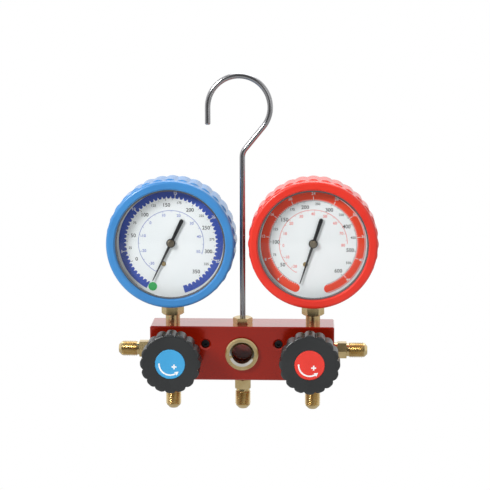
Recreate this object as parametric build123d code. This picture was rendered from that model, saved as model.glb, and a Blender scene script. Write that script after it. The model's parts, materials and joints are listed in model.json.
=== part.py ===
from build123d import *
import os
from math import acos, atan2, cos, degrees, pi, radians, sin, sqrt, tan

# Refrigerant manifold gauge set: an aluminium block with two hand valves, a sight
# glass, flare connections and two bottom-entry Bourdon gauges, hung from a swivel hook.
# Millimetres. +Z is up, +X is to the user's right and -Y faces the user.
# Pieces are drawn about the middle of the block's top face, and every solid is then
# dropped so that the origin lies under the crown of the hook, where the set hangs.

# ---- driving dimensions ---------------------------------------------------------

# manifold block
BLOCK_END = 15.2            # block's end, beyond the outer ports
BLOCK_DEPTH = 28.6
BLOCK_HEIGHT = 39.0
BLOCK_CHAMFER = 0.8
VALVE_OFFSET = 2.0          # valve axes, inside the outer ports
PASSAGE_DIAMETER = 4.0

# quarter-inch SAE flare connections on an eighth-inch pipe thread
FLARE_THREAD_DIAMETER = 11.112
FLARE_THREAD_LENGTH = 10.4
FLARE_GROOVE_LENGTH = 1.8
FLARE_GROOVE_DIAMETER = 9.2
FLARE_NOSE_DIAMETER = 5.8
FLARE_BORE_DIAMETER = 4.8
FLARE_HEX_FLATS = 11.1
FLARE_HEX_LENGTH = 6.5
FLARE_COLLAR_DIAMETER = 10.6
FLARE_COLLAR_LENGTH = 2.5
PIPE_THREAD_DIAMETER = 9.8
PIPE_THREAD_LENGTH = 8.0
DRILL_POINT_GAP = 1.0       # tapped holes run on past the thread that they take
PARKING_BORE_DEPTH = 5.0

# blanking screws that close the angled drillings in the front face
BLANKING_SPACING = 26.0
BLANKING_DROP = 12.9        # below the block's top face
BLANKING_DIAMETER = 6.0
BLANKING_LENGTH = 4.0
BLANKING_SINK = 3.0         # how far the screw sits below the face
BLANKING_COUNTERSINK_DIAMETER = 8.4
BLANKING_SOCKET_FLATS = 3.0

# sight glass
SIGHT_FLANGE_DIAMETER = 23.4
SIGHT_FLANGE_HEIGHT = 3.0
SIGHT_THREAD_DIAMETER = 20.0
SIGHT_THREAD_LENGTH = 6.0
SIGHT_WINDOW_DIAMETER = 14.4
SIGHT_GLASS_DIAMETER = 18.8
SIGHT_GLASS_THICKNESS = 4.0
SIGHT_SEAL_SECTION = 1.8
SIGHT_CHAMBER_DIAMETER = 14.0
SIGHT_CHAMBER_DEPTH = 8.5   # behind the seal

# swivel hook and its bush
HOOK_ROD_DIAMETER = 4.0
HOOK_BEND_RADIUS = 22.0     # to the rod's centre line
HOOK_BEND_OFFSET = 2.3      # bend centre, to the left of the shank
HOOK_RISE = 176.6           # crown's centre line above the block
HOOK_LEAN = 39.3            # of the straight run under the bend, from upright
HOOK_FOOT_RADIUS = 9.0
HOOK_TIP_LENGTH = 12.4
HOOK_HEAD_DIAMETER = 6.4
HOOK_HEAD_LENGTH = 1.8
BUSH_HEX_FLATS = 12.2
BUSH_HEX_HEIGHT = 4.0
BUSH_THREAD_DIAMETER = 9.0
BUSH_THREAD_LENGTH = 5.0

# hand valves
BONNET_THREAD_DIAMETER = 14.0
BONNET_THREAD_LENGTH = 9.0
BONNET_HEX_FLATS = 17.0
BONNET_HEX_LENGTH = 4.5
BONNET_NECK_DIAMETER = 11.0
BONNET_NECK_LENGTH = 3.0
BONNET_SEAL_SECTION = 1.5
GLAND_NUT_FLATS = 14.0
GLAND_NUT_LENGTH = 5.5
GLAND_NUT_WEB = 1.8
PACKING_DIAMETER = 8.4
PACKING_LENGTH = 4.0
STEM_DIAMETER = 5.0
STEM_THREAD_DIAMETER = 7.0
STEM_THREAD_LENGTH = 6.0
STEM_FLAT_DEPTH = 0.9
STEM_SPIGOT_DIAMETER = 3.0
STEM_SPIGOT_LENGTH = 2.0
VALVE_CHAMBER_DIAMETER = 10.0
VALVE_CHAMBER_DEPTH = 18.3  # from the front face to the seat
VALVE_SEAT_DIAMETER = 4.5
VALVE_SEAT_DEPTH = 5.2
VALVE_DISC_DIAMETER = 8.0
VALVE_DISC_THICKNESS = 3.2
VALVE_OPENING_TRAVEL = 3.0  # three turns of a one-millimetre thread

# knobs
KNOB_DIAMETER = 42.4
KNOB_VALLEY_DEPTH = 1.9
KNOB_LOBES = 16
KNOB_THICKNESS = 16.0
KNOB_FRONT = 33.0           # knob's front face, ahead of the block's
KNOB_EDGE_RADIUS = 2.2
KNOB_WALL = 2.6
KNOB_WEB = 3.4
KNOB_HUB_DIAMETER = 12.0
KNOB_RIBS = 8
KNOB_RIB_THICKNESS = 1.6
BADGE_DIAMETER = 20.8
BADGE_THICKNESS = 1.3
BADGE_RECESS = 1.0
KNOB_SCREW_DIAMETER = 3.0
KNOB_SCREW_LENGTH = 6.0
KNOB_SCREW_HEAD_DIAMETER = 5.4
KNOB_SCREW_HEAD_HEIGHT = 1.2

# gauges: housing
CASE_DIAMETER = 80.0
CASE_WALL = 0.8
CASE_REAR = 9.6             # case's back, behind the socket's axis
CASE_BEAD_HEIGHT = 1.15
CASE_BEAD_LENGTH = 1.6
BEZEL_WALL = 0.8
BEZEL_LENGTH = 10.2
BEZEL_LIP_WIDTH = 4.3
BEZEL_FRONT = 16.25         # bezel's front, ahead of the socket's axis
BOOT_LIP_THICKNESS = 2.45   # ahead of the bezel
BOOT_LIP_WIDTH = 3.05       # over the bezel's face
BOOT_WALL = 3.25            # around the bezel
BOOT_BACK_THICKNESS = 1.5
BOOT_BACK_WIDTH = 3.0       # over the case's back
BOOT_FLUTE_HEIGHT = 0.75    # flutes, proud of the front ring
BOOT_FLUTE_DEPTH = 1.1
BOOT_FLUTES = 32
BOOT_RING_LENGTH = 7.2
BOOT_EDGE_RADIUS = 2.2
BOOT_RISE = 13.2            # boot's lowest point, above the block
BOOT_HOOK_GAP = 2.3         # between each boot and the hook's shank
LENS_THICKNESS = 2.0
LENS_GASKET_THICKNESS = 0.8
DIAL_FACE = 8.4             # dial's front, ahead of the socket's axis
DIAL_THICKNESS = 0.8
DIAL_LEDGE = 1.0
DIAL_BORE_DIAMETER = 4.4

# gauges: socket
SOCKET_THREAD_DIAMETER = 10.3
SOCKET_THREAD_DEPTH = 8.0
SOCKET_HEX_FLATS = 14.0
SOCKET_HEX_RISE = 6.2       # hexagon's underside above the block
SOCKET_HEX_LENGTH = 9.8
SOCKET_NECK_DIAMETER = 12.0
SOCKET_BLOCK_WIDTH = 14.0
SOCKET_BLOCK_FRONT = 5.0
SOCKET_BLOCK_SINK = 2.0     # block's foot, inside the case's wall
SOCKET_BLOCK_COVER = 0.5    # block's head, beyond the tube's middle
SOCKET_TONGUE_WIDTH = 12.0
SOCKET_TONGUE_HEAD = 18.5
SOCKET_TONGUE_THICKNESS = 2.5
SOCKET_LOBE_WIDTH = 4.0
SOCKET_LOBE_HEIGHT = 8.5
SOCKET_LOBE_SINK = 4.0      # lobe's foot, below the block's head
SOCKET_BORE_DIAMETER = 2.4

# gauges: Bourdon tube
COIL_DIAMETER = 54.0        # to the middle of the tube
TUBE_WIDTH = 8.0
TUBE_THICKNESS = 3.2
TUBE_CORNER_SHARE = 0.32    # corners, as a share of the thickness
TUBE_WALL = 0.5
TUBE_MIDDLE = -1.0
TUBE_START = -103.0         # degrees from the gauge's +X, seen from the front
TUBE_SWEEP = 277.0
TIP_LENGTH = 3.6
TIP_ARM_WIDTH = 2.8
TIP_EYE_ACROSS = 18.5
TIP_EYE_DROP = 9.5

# gauges: movement
GEAR_MODULE = 0.3
PRESSURE_ANGLE = 20.0
PINION_TEETH = 12
SECTOR_FULL_TEETH = 96
SECTOR_SPARE_TEETH = 2      # beyond each end of the stroke
GEAR_BACKLASH = 0.05
SECTOR_THICKNESS = 1.0
SECTOR_ARM_WIDTH = 3.0
SECTOR_RIM = 2.2
TAIL_LENGTH = 6.5
TAIL_ANGLE = -70.0
PLATE_THICKNESS = 1.0
BACK_PLATE_FACE = -2.0      # front of the back plate, from the socket's axis
FRONT_PLATE_FACE = 4.6
PLATE_CORNERS = ((0.0, 8.0, 3.0), (-6.8, -19.6, 3.2), (5.2, -20.2, 3.2))
PILLAR_DIAMETER = 2.4
PILLAR_PLACES = ((0.0, 8.0), (-6.8, -19.6))
ARBOR_DIAMETER = 1.2
PIVOT_DIAMETER = 0.8
PINION_LENGTH = 3.4
COLLET_DIAMETER = 2.2
LINK_WIDTH = 2.2
LINK_THICKNESS = 0.8
LINK_PIN_DIAMETER = 1.0
HAIRSPRING_INNER_RADIUS = 1.5
HAIRSPRING_OUTER_RADIUS = 5.9
HAIRSPRING_TURNS = 3.5
HAIRSPRING_STRIP = 0.22
HAIRSPRING_WIDTH = 0.7
CALIBRATION_PLACE = (-5.5, -15.0)
CALIBRATION_HEAD_DIAMETER = 3.0
CALIBRATION_SHANK_DIAMETER = 1.6
MOVEMENT_SCREW_SPACING = 3.6
MOVEMENT_SCREW_DROP = 20.3
MOVEMENT_SCREW_DIAMETER = 2.0
CASE_SCREW_SPACING = 4.0
CASE_SCREW_RISE = 3.7       # above the block's foot
CASE_SCREW_DIAMETER = 3.0
CASE_SCREW_GRIP = 3.5       # in the socket
CASE_SCREW_HEAD_HEIGHT = 1.2

# pointers
POINTER_PLANE = 9.6
POINTER_THICKNESS = 0.4
POINTER_TIP_LENGTH = 30.5
POINTER_TAIL_LENGTH = 18.9
POINTER_TIP_WIDTH = 0.7
POINTER_ROOT_WIDTH = 2.0
POINTER_TAIL_WIDTH = 2.8
POINTER_HUB_DIAMETER = 6.4
POINTER_BOSS_DIAMETER = 5.0
POINTER_BOSS_HEIGHT = 1.3
POINTER_BOSS_EDGE = 0.6
POINTER_END_LENGTH = 1.0    # pointed or rounded end of the tip and of the tail
# scales, in degrees clockwise from the top: where zero is and how far they run
LOW_ZERO = -154.0
LOW_SCALE = 318.0
HIGH_ZERO = -162.0
HIGH_SCALE = 327.0

# clearances
THREAD_CLEARANCE = 0.05     # between a plain thread cylinder and its hole
RUNNING_CLEARANCE = 0.05    # radial, between turning pieces
SEAT_CLEARANCE = 0.05       # between pieces that rest on each other
SIDE_CLEARANCE = 0.3        # between moving pieces that pass each other

# ---- sizes worked out from them ---------------------------------------------------

BEZEL_DIAMETER = CASE_DIAMETER + 2 * (CASE_BEAD_HEIGHT + SEAT_CLEARANCE + BEZEL_WALL)
BEZEL_SIGHT_DIAMETER = BEZEL_DIAMETER - 2 * BEZEL_LIP_WIDTH
BOOT_RING_DIAMETER = BEZEL_DIAMETER + 2 * BOOT_WALL
BOOT_FLUTE_DIAMETER = BOOT_RING_DIAMETER + 2 * BOOT_FLUTE_HEIGHT
BOOT_OPENING_DIAMETER = BEZEL_DIAMETER - 2 * BOOT_LIP_WIDTH
BOOT_REAR_DIAMETER = CASE_DIAMETER - 2 * BOOT_BACK_WIDTH
BOOT_FRONT = BEZEL_FRONT + BOOT_LIP_THICKNESS
BOOT_REAR = CASE_REAR + BOOT_BACK_THICKNESS
GAUGE_RISE = BOOT_FLUTE_DIAMETER / 2 + BOOT_RISE
GAUGE_SPACING = (BOOT_FLUTE_DIAMETER + HOOK_ROD_DIAMETER) / 2 + BOOT_HOOK_GAP
PORT_SPACING = GAUGE_SPACING
VALVE_SPACING = PORT_SPACING - VALVE_OFFSET
BLOCK_LENGTH = 2 * (PORT_SPACING + BLOCK_END)
FRONT_FACE = -BLOCK_DEPTH / 2
MID_HEIGHT = -BLOCK_HEIGHT / 2
HOOK_CROWN_SEAT = HOOK_RISE - HOOK_ROD_DIAMETER / 2
THREAD_HOLE_DEPTH = PIPE_THREAD_LENGTH + DRILL_POINT_GAP
SOCKET_FOOT = -GAUGE_RISE
BEZEL_REAR = BEZEL_FRONT - BEZEL_LENGTH
LENS_FRONT = BEZEL_FRONT - BEZEL_WALL
LENS_REAR = LENS_FRONT - LENS_THICKNESS
CASE_FRONT = LENS_REAR - LENS_GASKET_THICKNESS
CASE_BORE_RADIUS = CASE_DIAMETER / 2 - CASE_WALL
SOCKET_BLOCK_FOOT = CASE_BORE_RADIUS - SOCKET_BLOCK_SINK
CASE_SCREW_DROP = SOCKET_BLOCK_FOOT - CASE_SCREW_RISE
COIL_RADIUS = COIL_DIAMETER / 2
SOCKET_BLOCK_HEAD = COIL_RADIUS + SOCKET_BLOCK_COVER
SOCKET_LOBE_FOOT = SOCKET_BLOCK_HEAD + SOCKET_LOBE_SINK
KNOB_REAR = KNOB_FRONT - KNOB_THICKNESS
PINION_RADIUS = GEAR_MODULE * PINION_TEETH / 2
SECTOR_RADIUS = GEAR_MODULE * SECTOR_FULL_TEETH / 2
SECTOR_PIVOT = (0.0, -(PINION_RADIUS + SECTOR_RADIUS))
GEAR_RATIO = SECTOR_FULL_TEETH / PINION_TEETH
SECTOR_FACE = SECTOR_THICKNESS / 2
LINK_PLANE = SECTOR_FACE + RUNNING_CLEARANCE * 4
FRONT_PLATE_BACK = FRONT_PLATE_FACE - PLATE_THICKNESS
BACK_PLATE_BACK = BACK_PLATE_FACE - PLATE_THICKNESS


# ---- helpers --------------------------------------------------------------------------

def turned(*outline):
    """A solid of revolution about Z from (radius, height) points."""
    return revolve(Plane.XZ * make_face(Polyline(*outline, close=True)), Axis.Z)


def rod(diameter, start, end):
    """A round bar or hole along Z from one height to another."""
    return Pos(0, 0, (start + end) / 2) * Cylinder(diameter / 2, abs(end - start))


def ring(outer, inner, start, end):
    """A plain tube along Z."""
    return rod(outer, start, end) - rod(inner, start - 1, end + 1)


def hexagon(flats, start, end, chamfered=0.6):
    """A hexagonal bar along Z, corners on X, with its corners turned off at both ends."""
    corner = flats / 2 / cos(pi / 6)
    bar = extrude(Pos(0, 0, start) * RegularPolygon(corner, 6), end - start)
    slope = chamfered * tan(pi / 6)
    envelope = turned(
        (0, start),
        (corner - chamfered, start),
        (corner, start + slope),
        (corner, end - slope),
        (corner - chamfered, end),
        (0, end),
    )
    return bar & envelope


def squeezed_ring(outer, section, start, end):
    """An O-ring about Z, squeezed to an octagonal section between two faces."""
    inner = outer / 2 - section
    round_off = (end - start) * 0.3
    return turned(
        (inner, start + round_off),
        (inner + round_off, start),
        (outer / 2 - round_off, start),
        (outer / 2, start + round_off),
        (outer / 2, end - round_off),
        (outer / 2 - round_off, end),
        (inner + round_off, end),
        (inner, end - round_off),
    )


def lobed_outline(diameter, depth, lobes):
    """A closed outline of convex lobes that meet in shallow valleys."""
    crest, valley = diameter / 2, diameter / 2 - depth
    pitch = 360 / lobes
    sides = []
    for n in range(lobes):
        left, top, right = (
            Vector(r, 0).rotate(Axis.Z, pitch * (n + step))
            for r, step in ((valley, -0.5), (crest, 0), (valley, 0.5))
        )
        sides.append(ThreePointArc(left, top, right))
    return make_face(sides)


def polar(radius, angle):
    """A flat point from a radius and an angle in degrees."""
    return radius * cos(radians(angle)), radius * sin(radians(angle))


def facing_front(x, y, z):
    """A place whose +Z points at the user and whose +Y points up."""
    return Pos(x, y, z) * Rot(90, 0, 0)


# ---- connections ------------------------------------------------------------------------

def flare_fitting(bore_depth=None):
    """A male flare connection, standing on Z = 0 with its nose up."""
    hex_start = FLARE_COLLAR_LENGTH
    groove_start = hex_start + FLARE_HEX_LENGTH
    thread_start = groove_start + FLARE_GROOVE_LENGTH
    thread_end = thread_start + FLARE_THREAD_LENGTH
    thread, groove = FLARE_THREAD_DIAMETER / 2, FLARE_GROOVE_DIAMETER / 2
    collar, nose = FLARE_COLLAR_DIAMETER / 2, FLARE_NOSE_DIAMETER / 2
    pipe = PIPE_THREAD_DIAMETER / 2
    lead = 0.6
    cone_start = thread_end + lead
    cone_end = cone_start + thread - lead - nose
    body = turned(
        (0, -PIPE_THREAD_LENGTH),
        (pipe - lead, -PIPE_THREAD_LENGTH),
        (pipe, lead - PIPE_THREAD_LENGTH),
        (pipe, 0),
        (collar, 0),
        (collar, hex_start + lead),
        (groove, hex_start + lead),
        (groove, thread_start),
        (thread - lead, thread_start),
        (thread, thread_start + lead),
        (thread, thread_end),
        (thread - lead, cone_start),
        (nose, cone_end),
        (0, cone_end),
    )
    body += hexagon(FLARE_HEX_FLATS, hex_start, groove_start, 0.5)
    if bore_depth is None:
        bore_depth = cone_end + PIPE_THREAD_LENGTH + 1
    return body - rod(FLARE_BORE_DIAMETER, cone_end - bore_depth, cone_end + 1)


FLARE_LENGTH = (
    FLARE_COLLAR_LENGTH
    + FLARE_HEX_LENGTH
    + FLARE_GROOVE_LENGTH
    + FLARE_THREAD_LENGTH
    + (FLARE_THREAD_DIAMETER - FLARE_NOSE_DIAMETER) / 2
)


def connections():
    """The three flare ports under the block and the parking posts on its ends."""
    below = Rot(180, 0, 0)
    ports = {"low_side_port": -PORT_SPACING, "centre_port": 0, "high_side_port": PORT_SPACING}
    made = {
        name: Pos(x, 0, -BLOCK_HEIGHT) * below * flare_fitting() for name, x in ports.items()
    }
    post = flare_fitting(PARKING_BORE_DEPTH)
    end = BLOCK_LENGTH / 2
    made["left_parking_post"] = Pos(-end, 0, MID_HEIGHT) * Rot(0, -90, 0) * post
    made["right_parking_post"] = Pos(end, 0, MID_HEIGHT) * Rot(0, 90, 0) * post
    return made


# ---- block --------------------------------------------------------------------------------

def drilling(start, end, diameter=PASSAGE_DIAMETER):
    """A straight hole between two points."""
    path = Line(start, end)
    return Plane(origin=start, z_dir=path % 0) * rod(diameter, 0, path.length)


def valve_cavity():
    """The stepped hole for one valve, with Z = 0 at the front face."""
    thread = BONNET_THREAD_DIAMETER + 2 * THREAD_CLEARANCE
    return (
        rod(thread, -BONNET_THREAD_LENGTH - SEAT_CLEARANCE, 1)
        + rod(VALVE_CHAMBER_DIAMETER, -VALVE_CHAMBER_DEPTH, 0)
        + rod(VALVE_SEAT_DIAMETER, -VALVE_CHAMBER_DEPTH - VALVE_SEAT_DEPTH, -VALVE_CHAMBER_DEPTH)
    )


def sight_cavity():
    """The stepped hole for the sight glass, with Z = 0 at the front face."""
    seal_seat = SIGHT_THREAD_LENGTH + SIGHT_GLASS_THICKNESS + SIGHT_SEAL_SECTION
    return rod(SIGHT_THREAD_DIAMETER + 2 * THREAD_CLEARANCE, -seal_seat, 1) + rod(
        SIGHT_CHAMBER_DIAMETER, -seal_seat - SIGHT_CHAMBER_DEPTH, 0
    )


def blanking_cavity():
    """The tapped and countersunk hole for one blanking screw."""
    mouth = BLANKING_COUNTERSINK_DIAMETER / 2
    wall = BLANKING_DIAMETER / 2 + THREAD_CLEARANCE
    depth = BLANKING_SINK + BLANKING_LENGTH + DRILL_POINT_GAP
    return turned((0, 0.5), (mouth + 0.5, 0.5), (wall, wall - mouth), (wall, -depth), (0, -depth))


def manifold_body():
    """The drilled and tapped aluminium block."""
    block = Pos(0, 0, MID_HEIGHT) * Box(BLOCK_LENGTH, BLOCK_DEPTH, BLOCK_HEIGHT)
    block = chamfer(block.edges(), BLOCK_CHAMFER)
    tapped = PIPE_THREAD_DIAMETER + 2 * THREAD_CLEARANCE
    gauge_tapped = SOCKET_THREAD_DIAMETER + 2 * THREAD_CLEARANCE
    port_hole = Pos(0, 0, -BLOCK_HEIGHT) * rod(tapped, -1, THREAD_HOLE_DEPTH)
    sight = facing_front(0, FRONT_FACE, MID_HEIGHT)
    seat_back = VALVE_CHAMBER_DEPTH + VALVE_SEAT_DEPTH / 2
    chamber_back = (
        SIGHT_THREAD_LENGTH
        + SIGHT_GLASS_THICKNESS
        + SIGHT_SEAL_SECTION
        + SIGHT_CHAMBER_DEPTH / 2
    )
    holes = [sight * sight_cavity(), port_hole]
    holes.append(Pos(0, 0, -BLOCK_HEIGHT) * rod(PASSAGE_DIAMETER, 0, BLOCK_HEIGHT / 2))
    holes.append(
        rod(BUSH_THREAD_DIAMETER + 2 * THREAD_CLEARANCE, -BUSH_THREAD_LENGTH - SEAT_CLEARANCE, 1)
    )
    head_pocket = BUSH_THREAD_LENGTH + HOOK_HEAD_LENGTH + 2 * DRILL_POINT_GAP
    holes.append(rod(HOOK_HEAD_DIAMETER + 2 * SIDE_CLEARANCE, -head_pocket, 0))
    for side in (-1, 1):
        port_x, valve_x = side * PORT_SPACING, side * VALVE_SPACING
        blank_x = side * BLANKING_SPACING
        blank_back = FRONT_FACE + BLANKING_SINK + BLANKING_LENGTH
        meeting = (blank_x, blank_back, -BLANKING_DROP)
        holes += [
            Pos(port_x, 0, 0) * port_hole,
            Pos(side * GAUGE_SPACING, 0, 0)
            * rod(gauge_tapped, -SOCKET_THREAD_DEPTH - DRILL_POINT_GAP, 1),
            Pos(port_x, 0, MID_HEIGHT) * rod(PASSAGE_DIAMETER, MID_HEIGHT, -MID_HEIGHT),
            facing_front(valve_x, FRONT_FACE, MID_HEIGHT) * valve_cavity(),
            facing_front(blank_x, FRONT_FACE, -BLANKING_DROP) * blanking_cavity(),
            drilling(meeting, (valve_x, FRONT_FACE + seat_back, MID_HEIGHT)),
            drilling(meeting, (0, FRONT_FACE + chamber_back, MID_HEIGHT)),
            Pos(side * BLOCK_LENGTH / 2, 0, MID_HEIGHT)
            * Rot(0, side * 90, 0)
            * rod(tapped, -THREAD_HOLE_DEPTH, 1),
        ]
    return block - holes


def blanking_screws():
    """Socket set screws that close the drillings in the front face."""
    front, back = -BLANKING_SINK, -BLANKING_SINK - BLANKING_LENGTH
    radius = BLANKING_DIAMETER / 2
    screw = turned(
        (0, back), (radius - 0.5, back), (radius, back + 0.5),
        (radius, front - 0.4), (radius - 0.4, front), (0, front),
    )
    socket = RegularPolygon(BLANKING_SOCKET_FLATS / 2 / cos(pi / 6), 6)
    screw -= extrude(Pos(0, 0, front - BLANKING_LENGTH / 2) * socket, BLANKING_LENGTH)
    return [
        facing_front(side * BLANKING_SPACING, FRONT_FACE, -BLANKING_DROP) * screw
        for side in (-1, 1)
    ]


def sight_glass():
    """The threaded brass ring, the glass behind it and the seal behind the glass."""
    flange, thread = SIGHT_FLANGE_DIAMETER / 2, SIGHT_THREAD_DIAMETER / 2
    window = SIGHT_WINDOW_DIAMETER / 2
    bevel = 1.7
    bezel = turned(
        (window, -SIGHT_THREAD_LENGTH),
        (thread, -SIGHT_THREAD_LENGTH),
        (thread, 0),
        (flange, 0),
        (flange, SIGHT_FLANGE_HEIGHT - 0.8),
        (flange - 0.8, SIGHT_FLANGE_HEIGHT),
        (window + bevel, SIGHT_FLANGE_HEIGHT),
        (window, SIGHT_FLANGE_HEIGHT - bevel),
    )
    glass_front = -SIGHT_THREAD_LENGTH
    glass_back = glass_front - SIGHT_GLASS_THICKNESS
    glass = rod(SIGHT_GLASS_DIAMETER, glass_back, glass_front)
    seal_back = glass_back - SIGHT_SEAL_SECTION
    seal = squeezed_ring(SIGHT_GLASS_DIAMETER, SIGHT_SEAL_SECTION, seal_back, glass_back)
    place = facing_front(0, FRONT_FACE, MID_HEIGHT)
    return {
        "sight_glass_ring": place * bezel,
        "sight_glass_lens": place * glass,
        "sight_glass_o_ring": place * seal,
    }


# ---- hook ------------------------------------------------------------------------------------

def hook():
    """The bent rod, with an upset head that the bush holds down."""
    centre_x, centre_z = -HOOK_BEND_OFFSET, HOOK_RISE - HOOK_BEND_RADIUS
    lean = radians(HOOK_LEAN)
    touch_x = centre_x + HOOK_BEND_RADIUS * cos(lean)
    touch_z = centre_z - HOOK_BEND_RADIUS * sin(lean)
    foot_z = touch_z - touch_x / tan(lean)
    foot = -BUSH_THREAD_LENGTH - SEAT_CLEARANCE
    shank = FilletPolyline((0, foot), (0, foot_z), (touch_x, touch_z), radius=HOOK_FOOT_RADIUS)
    bend = CenterArc((centre_x, centre_z), HOOK_BEND_RADIUS, -HOOK_LEAN, 180 + HOOK_LEAN)
    tip_x = centre_x - HOOK_BEND_RADIUS
    tip = Line((tip_x, centre_z), (tip_x, centre_z - HOOK_TIP_LENGTH))
    path = Plane.XZ * Wire([*shank.edges(), bend, tip])
    bar = sweep(Pos(0, 0, foot) * Circle(HOOK_ROD_DIAMETER / 2), path=path)
    end = bar.faces().filter_by(GeomType.PLANE).sort_by(Axis.X)[0]
    bar = fillet(end.edges(), HOOK_ROD_DIAMETER * 0.3)
    head = rod(HOOK_HEAD_DIAMETER, foot - HOOK_HEAD_LENGTH, foot)
    return bar + head


def hook_bush():
    """The hexagonal bush, screwed into the block, that the hook turns in."""
    body = rod(BUSH_THREAD_DIAMETER, -BUSH_THREAD_LENGTH, 0)
    body += hexagon(BUSH_HEX_FLATS, 0, BUSH_HEX_HEIGHT)
    return body - rod(HOOK_ROD_DIAMETER + 2 * RUNNING_CLEARANCE, -BUSH_THREAD_LENGTH - 1, BUSH_HEX_HEIGHT + 1)


# ---- hand valves -------------------------------------------------------------------------------

def bonnet():
    """The valve bonnet: thread, hexagon, neck and packing box, with Z = 0 at the block."""
    neck_end = BONNET_HEX_LENGTH + BONNET_NECK_LENGTH
    body = rod(BONNET_THREAD_DIAMETER, -BONNET_THREAD_LENGTH, 0)
    body -= ring(
        BONNET_THREAD_DIAMETER + 2,
        BONNET_THREAD_DIAMETER - 2 * BONNET_SEAL_SECTION,
        -BONNET_SEAL_SECTION,
        0,
    )
    body += hexagon(BONNET_HEX_FLATS, 0, BONNET_HEX_LENGTH)
    body += rod(BONNET_NECK_DIAMETER, 0, neck_end)
    bore = rod(STEM_THREAD_DIAMETER + 2 * RUNNING_CLEARANCE, -BONNET_THREAD_LENGTH - 1, neck_end + 1)
    box = rod(PACKING_DIAMETER + 2 * THREAD_CLEARANCE, neck_end - PACKING_LENGTH, neck_end + 1)
    return body - bore - box


def bonnet_seals():
    """Round-section seals under both bonnets' hexagons."""
    seal = squeezed_ring(
        BONNET_THREAD_DIAMETER,
        BONNET_SEAL_SECTION - SEAT_CLEARANCE,
        SEAT_CLEARANCE - BONNET_SEAL_SECTION,
        -SEAT_CLEARANCE,
    )
    return [
        facing_front(side * VALVE_SPACING, FRONT_FACE, MID_HEIGHT) * seal for side in (-1, 1)
    ]


def packing():
    """The soft ring that seals the stem in the bonnet."""
    top = BONNET_HEX_LENGTH + BONNET_NECK_LENGTH
    stem_hole = STEM_DIAMETER + 2 * RUNNING_CLEARANCE
    return ring(PACKING_DIAMETER, stem_hole, top - PACKING_LENGTH, top)


def gland_nut():
    """The cap nut that keeps the packing tight."""
    start = BONNET_HEX_LENGTH + SIDE_CLEARANCE
    end = start + GLAND_NUT_LENGTH
    web_start = BONNET_HEX_LENGTH + BONNET_NECK_LENGTH + SEAT_CLEARANCE
    nut = hexagon(GLAND_NUT_FLATS, start, max(end, web_start + GLAND_NUT_WEB))
    nut -= rod(BONNET_NECK_DIAMETER + 2 * THREAD_CLEARANCE, start - 1, web_start)
    return nut - rod(STEM_DIAMETER + 4 * RUNNING_CLEARANCE, start, end + GLAND_NUT_WEB)


def valve_stem():
    """The turning stem: spigot, thread, plain shank and the flatted end for the knob."""
    thread_end = BONNET_HEX_LENGTH + BONNET_NECK_LENGTH - PACKING_LENGTH - VALVE_OPENING_TRAVEL
    thread_end -= SIDE_CLEARANCE
    tip = VALVE_DISC_THICKNESS - VALVE_CHAMBER_DEPTH + 2 * SEAT_CLEARANCE
    knob_web = KNOB_FRONT - BADGE_RECESS - KNOB_WEB
    stem = rod(STEM_DIAMETER, tip, knob_web)
    stem += rod(STEM_THREAD_DIAMETER, thread_end - STEM_THREAD_LENGTH, thread_end)
    stem += rod(STEM_SPIGOT_DIAMETER, tip - STEM_SPIGOT_LENGTH, tip)
    flat = Pos(0, STEM_DIAMETER - STEM_FLAT_DEPTH, (KNOB_REAR + knob_web) / 2)
    stem -= flat * Box(STEM_DIAMETER * 2, STEM_DIAMETER, KNOB_THICKNESS)
    screw_room = KNOB_SCREW_DIAMETER + 2 * THREAD_CLEARANCE
    return stem - rod(screw_room, knob_web - KNOB_SCREW_LENGTH, knob_web + 1)


def valve_disc():
    """The sealing disc that rides on the stem's spigot and closes the seat."""
    seat = SEAT_CLEARANCE - VALVE_CHAMBER_DEPTH
    top = seat + VALVE_DISC_THICKNESS
    disc = turned(
        (0, seat),
        (VALVE_DISC_DIAMETER / 2 - 0.6, seat),
        (VALVE_DISC_DIAMETER / 2, seat + 0.6),
        (VALVE_DISC_DIAMETER / 2, top),
        (0, top),
    )
    hole = STEM_SPIGOT_DIAMETER + 2 * RUNNING_CLEARANCE
    return disc - rod(hole, top - STEM_SPIGOT_LENGTH - SEAT_CLEARANCE, top + 1)


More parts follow.
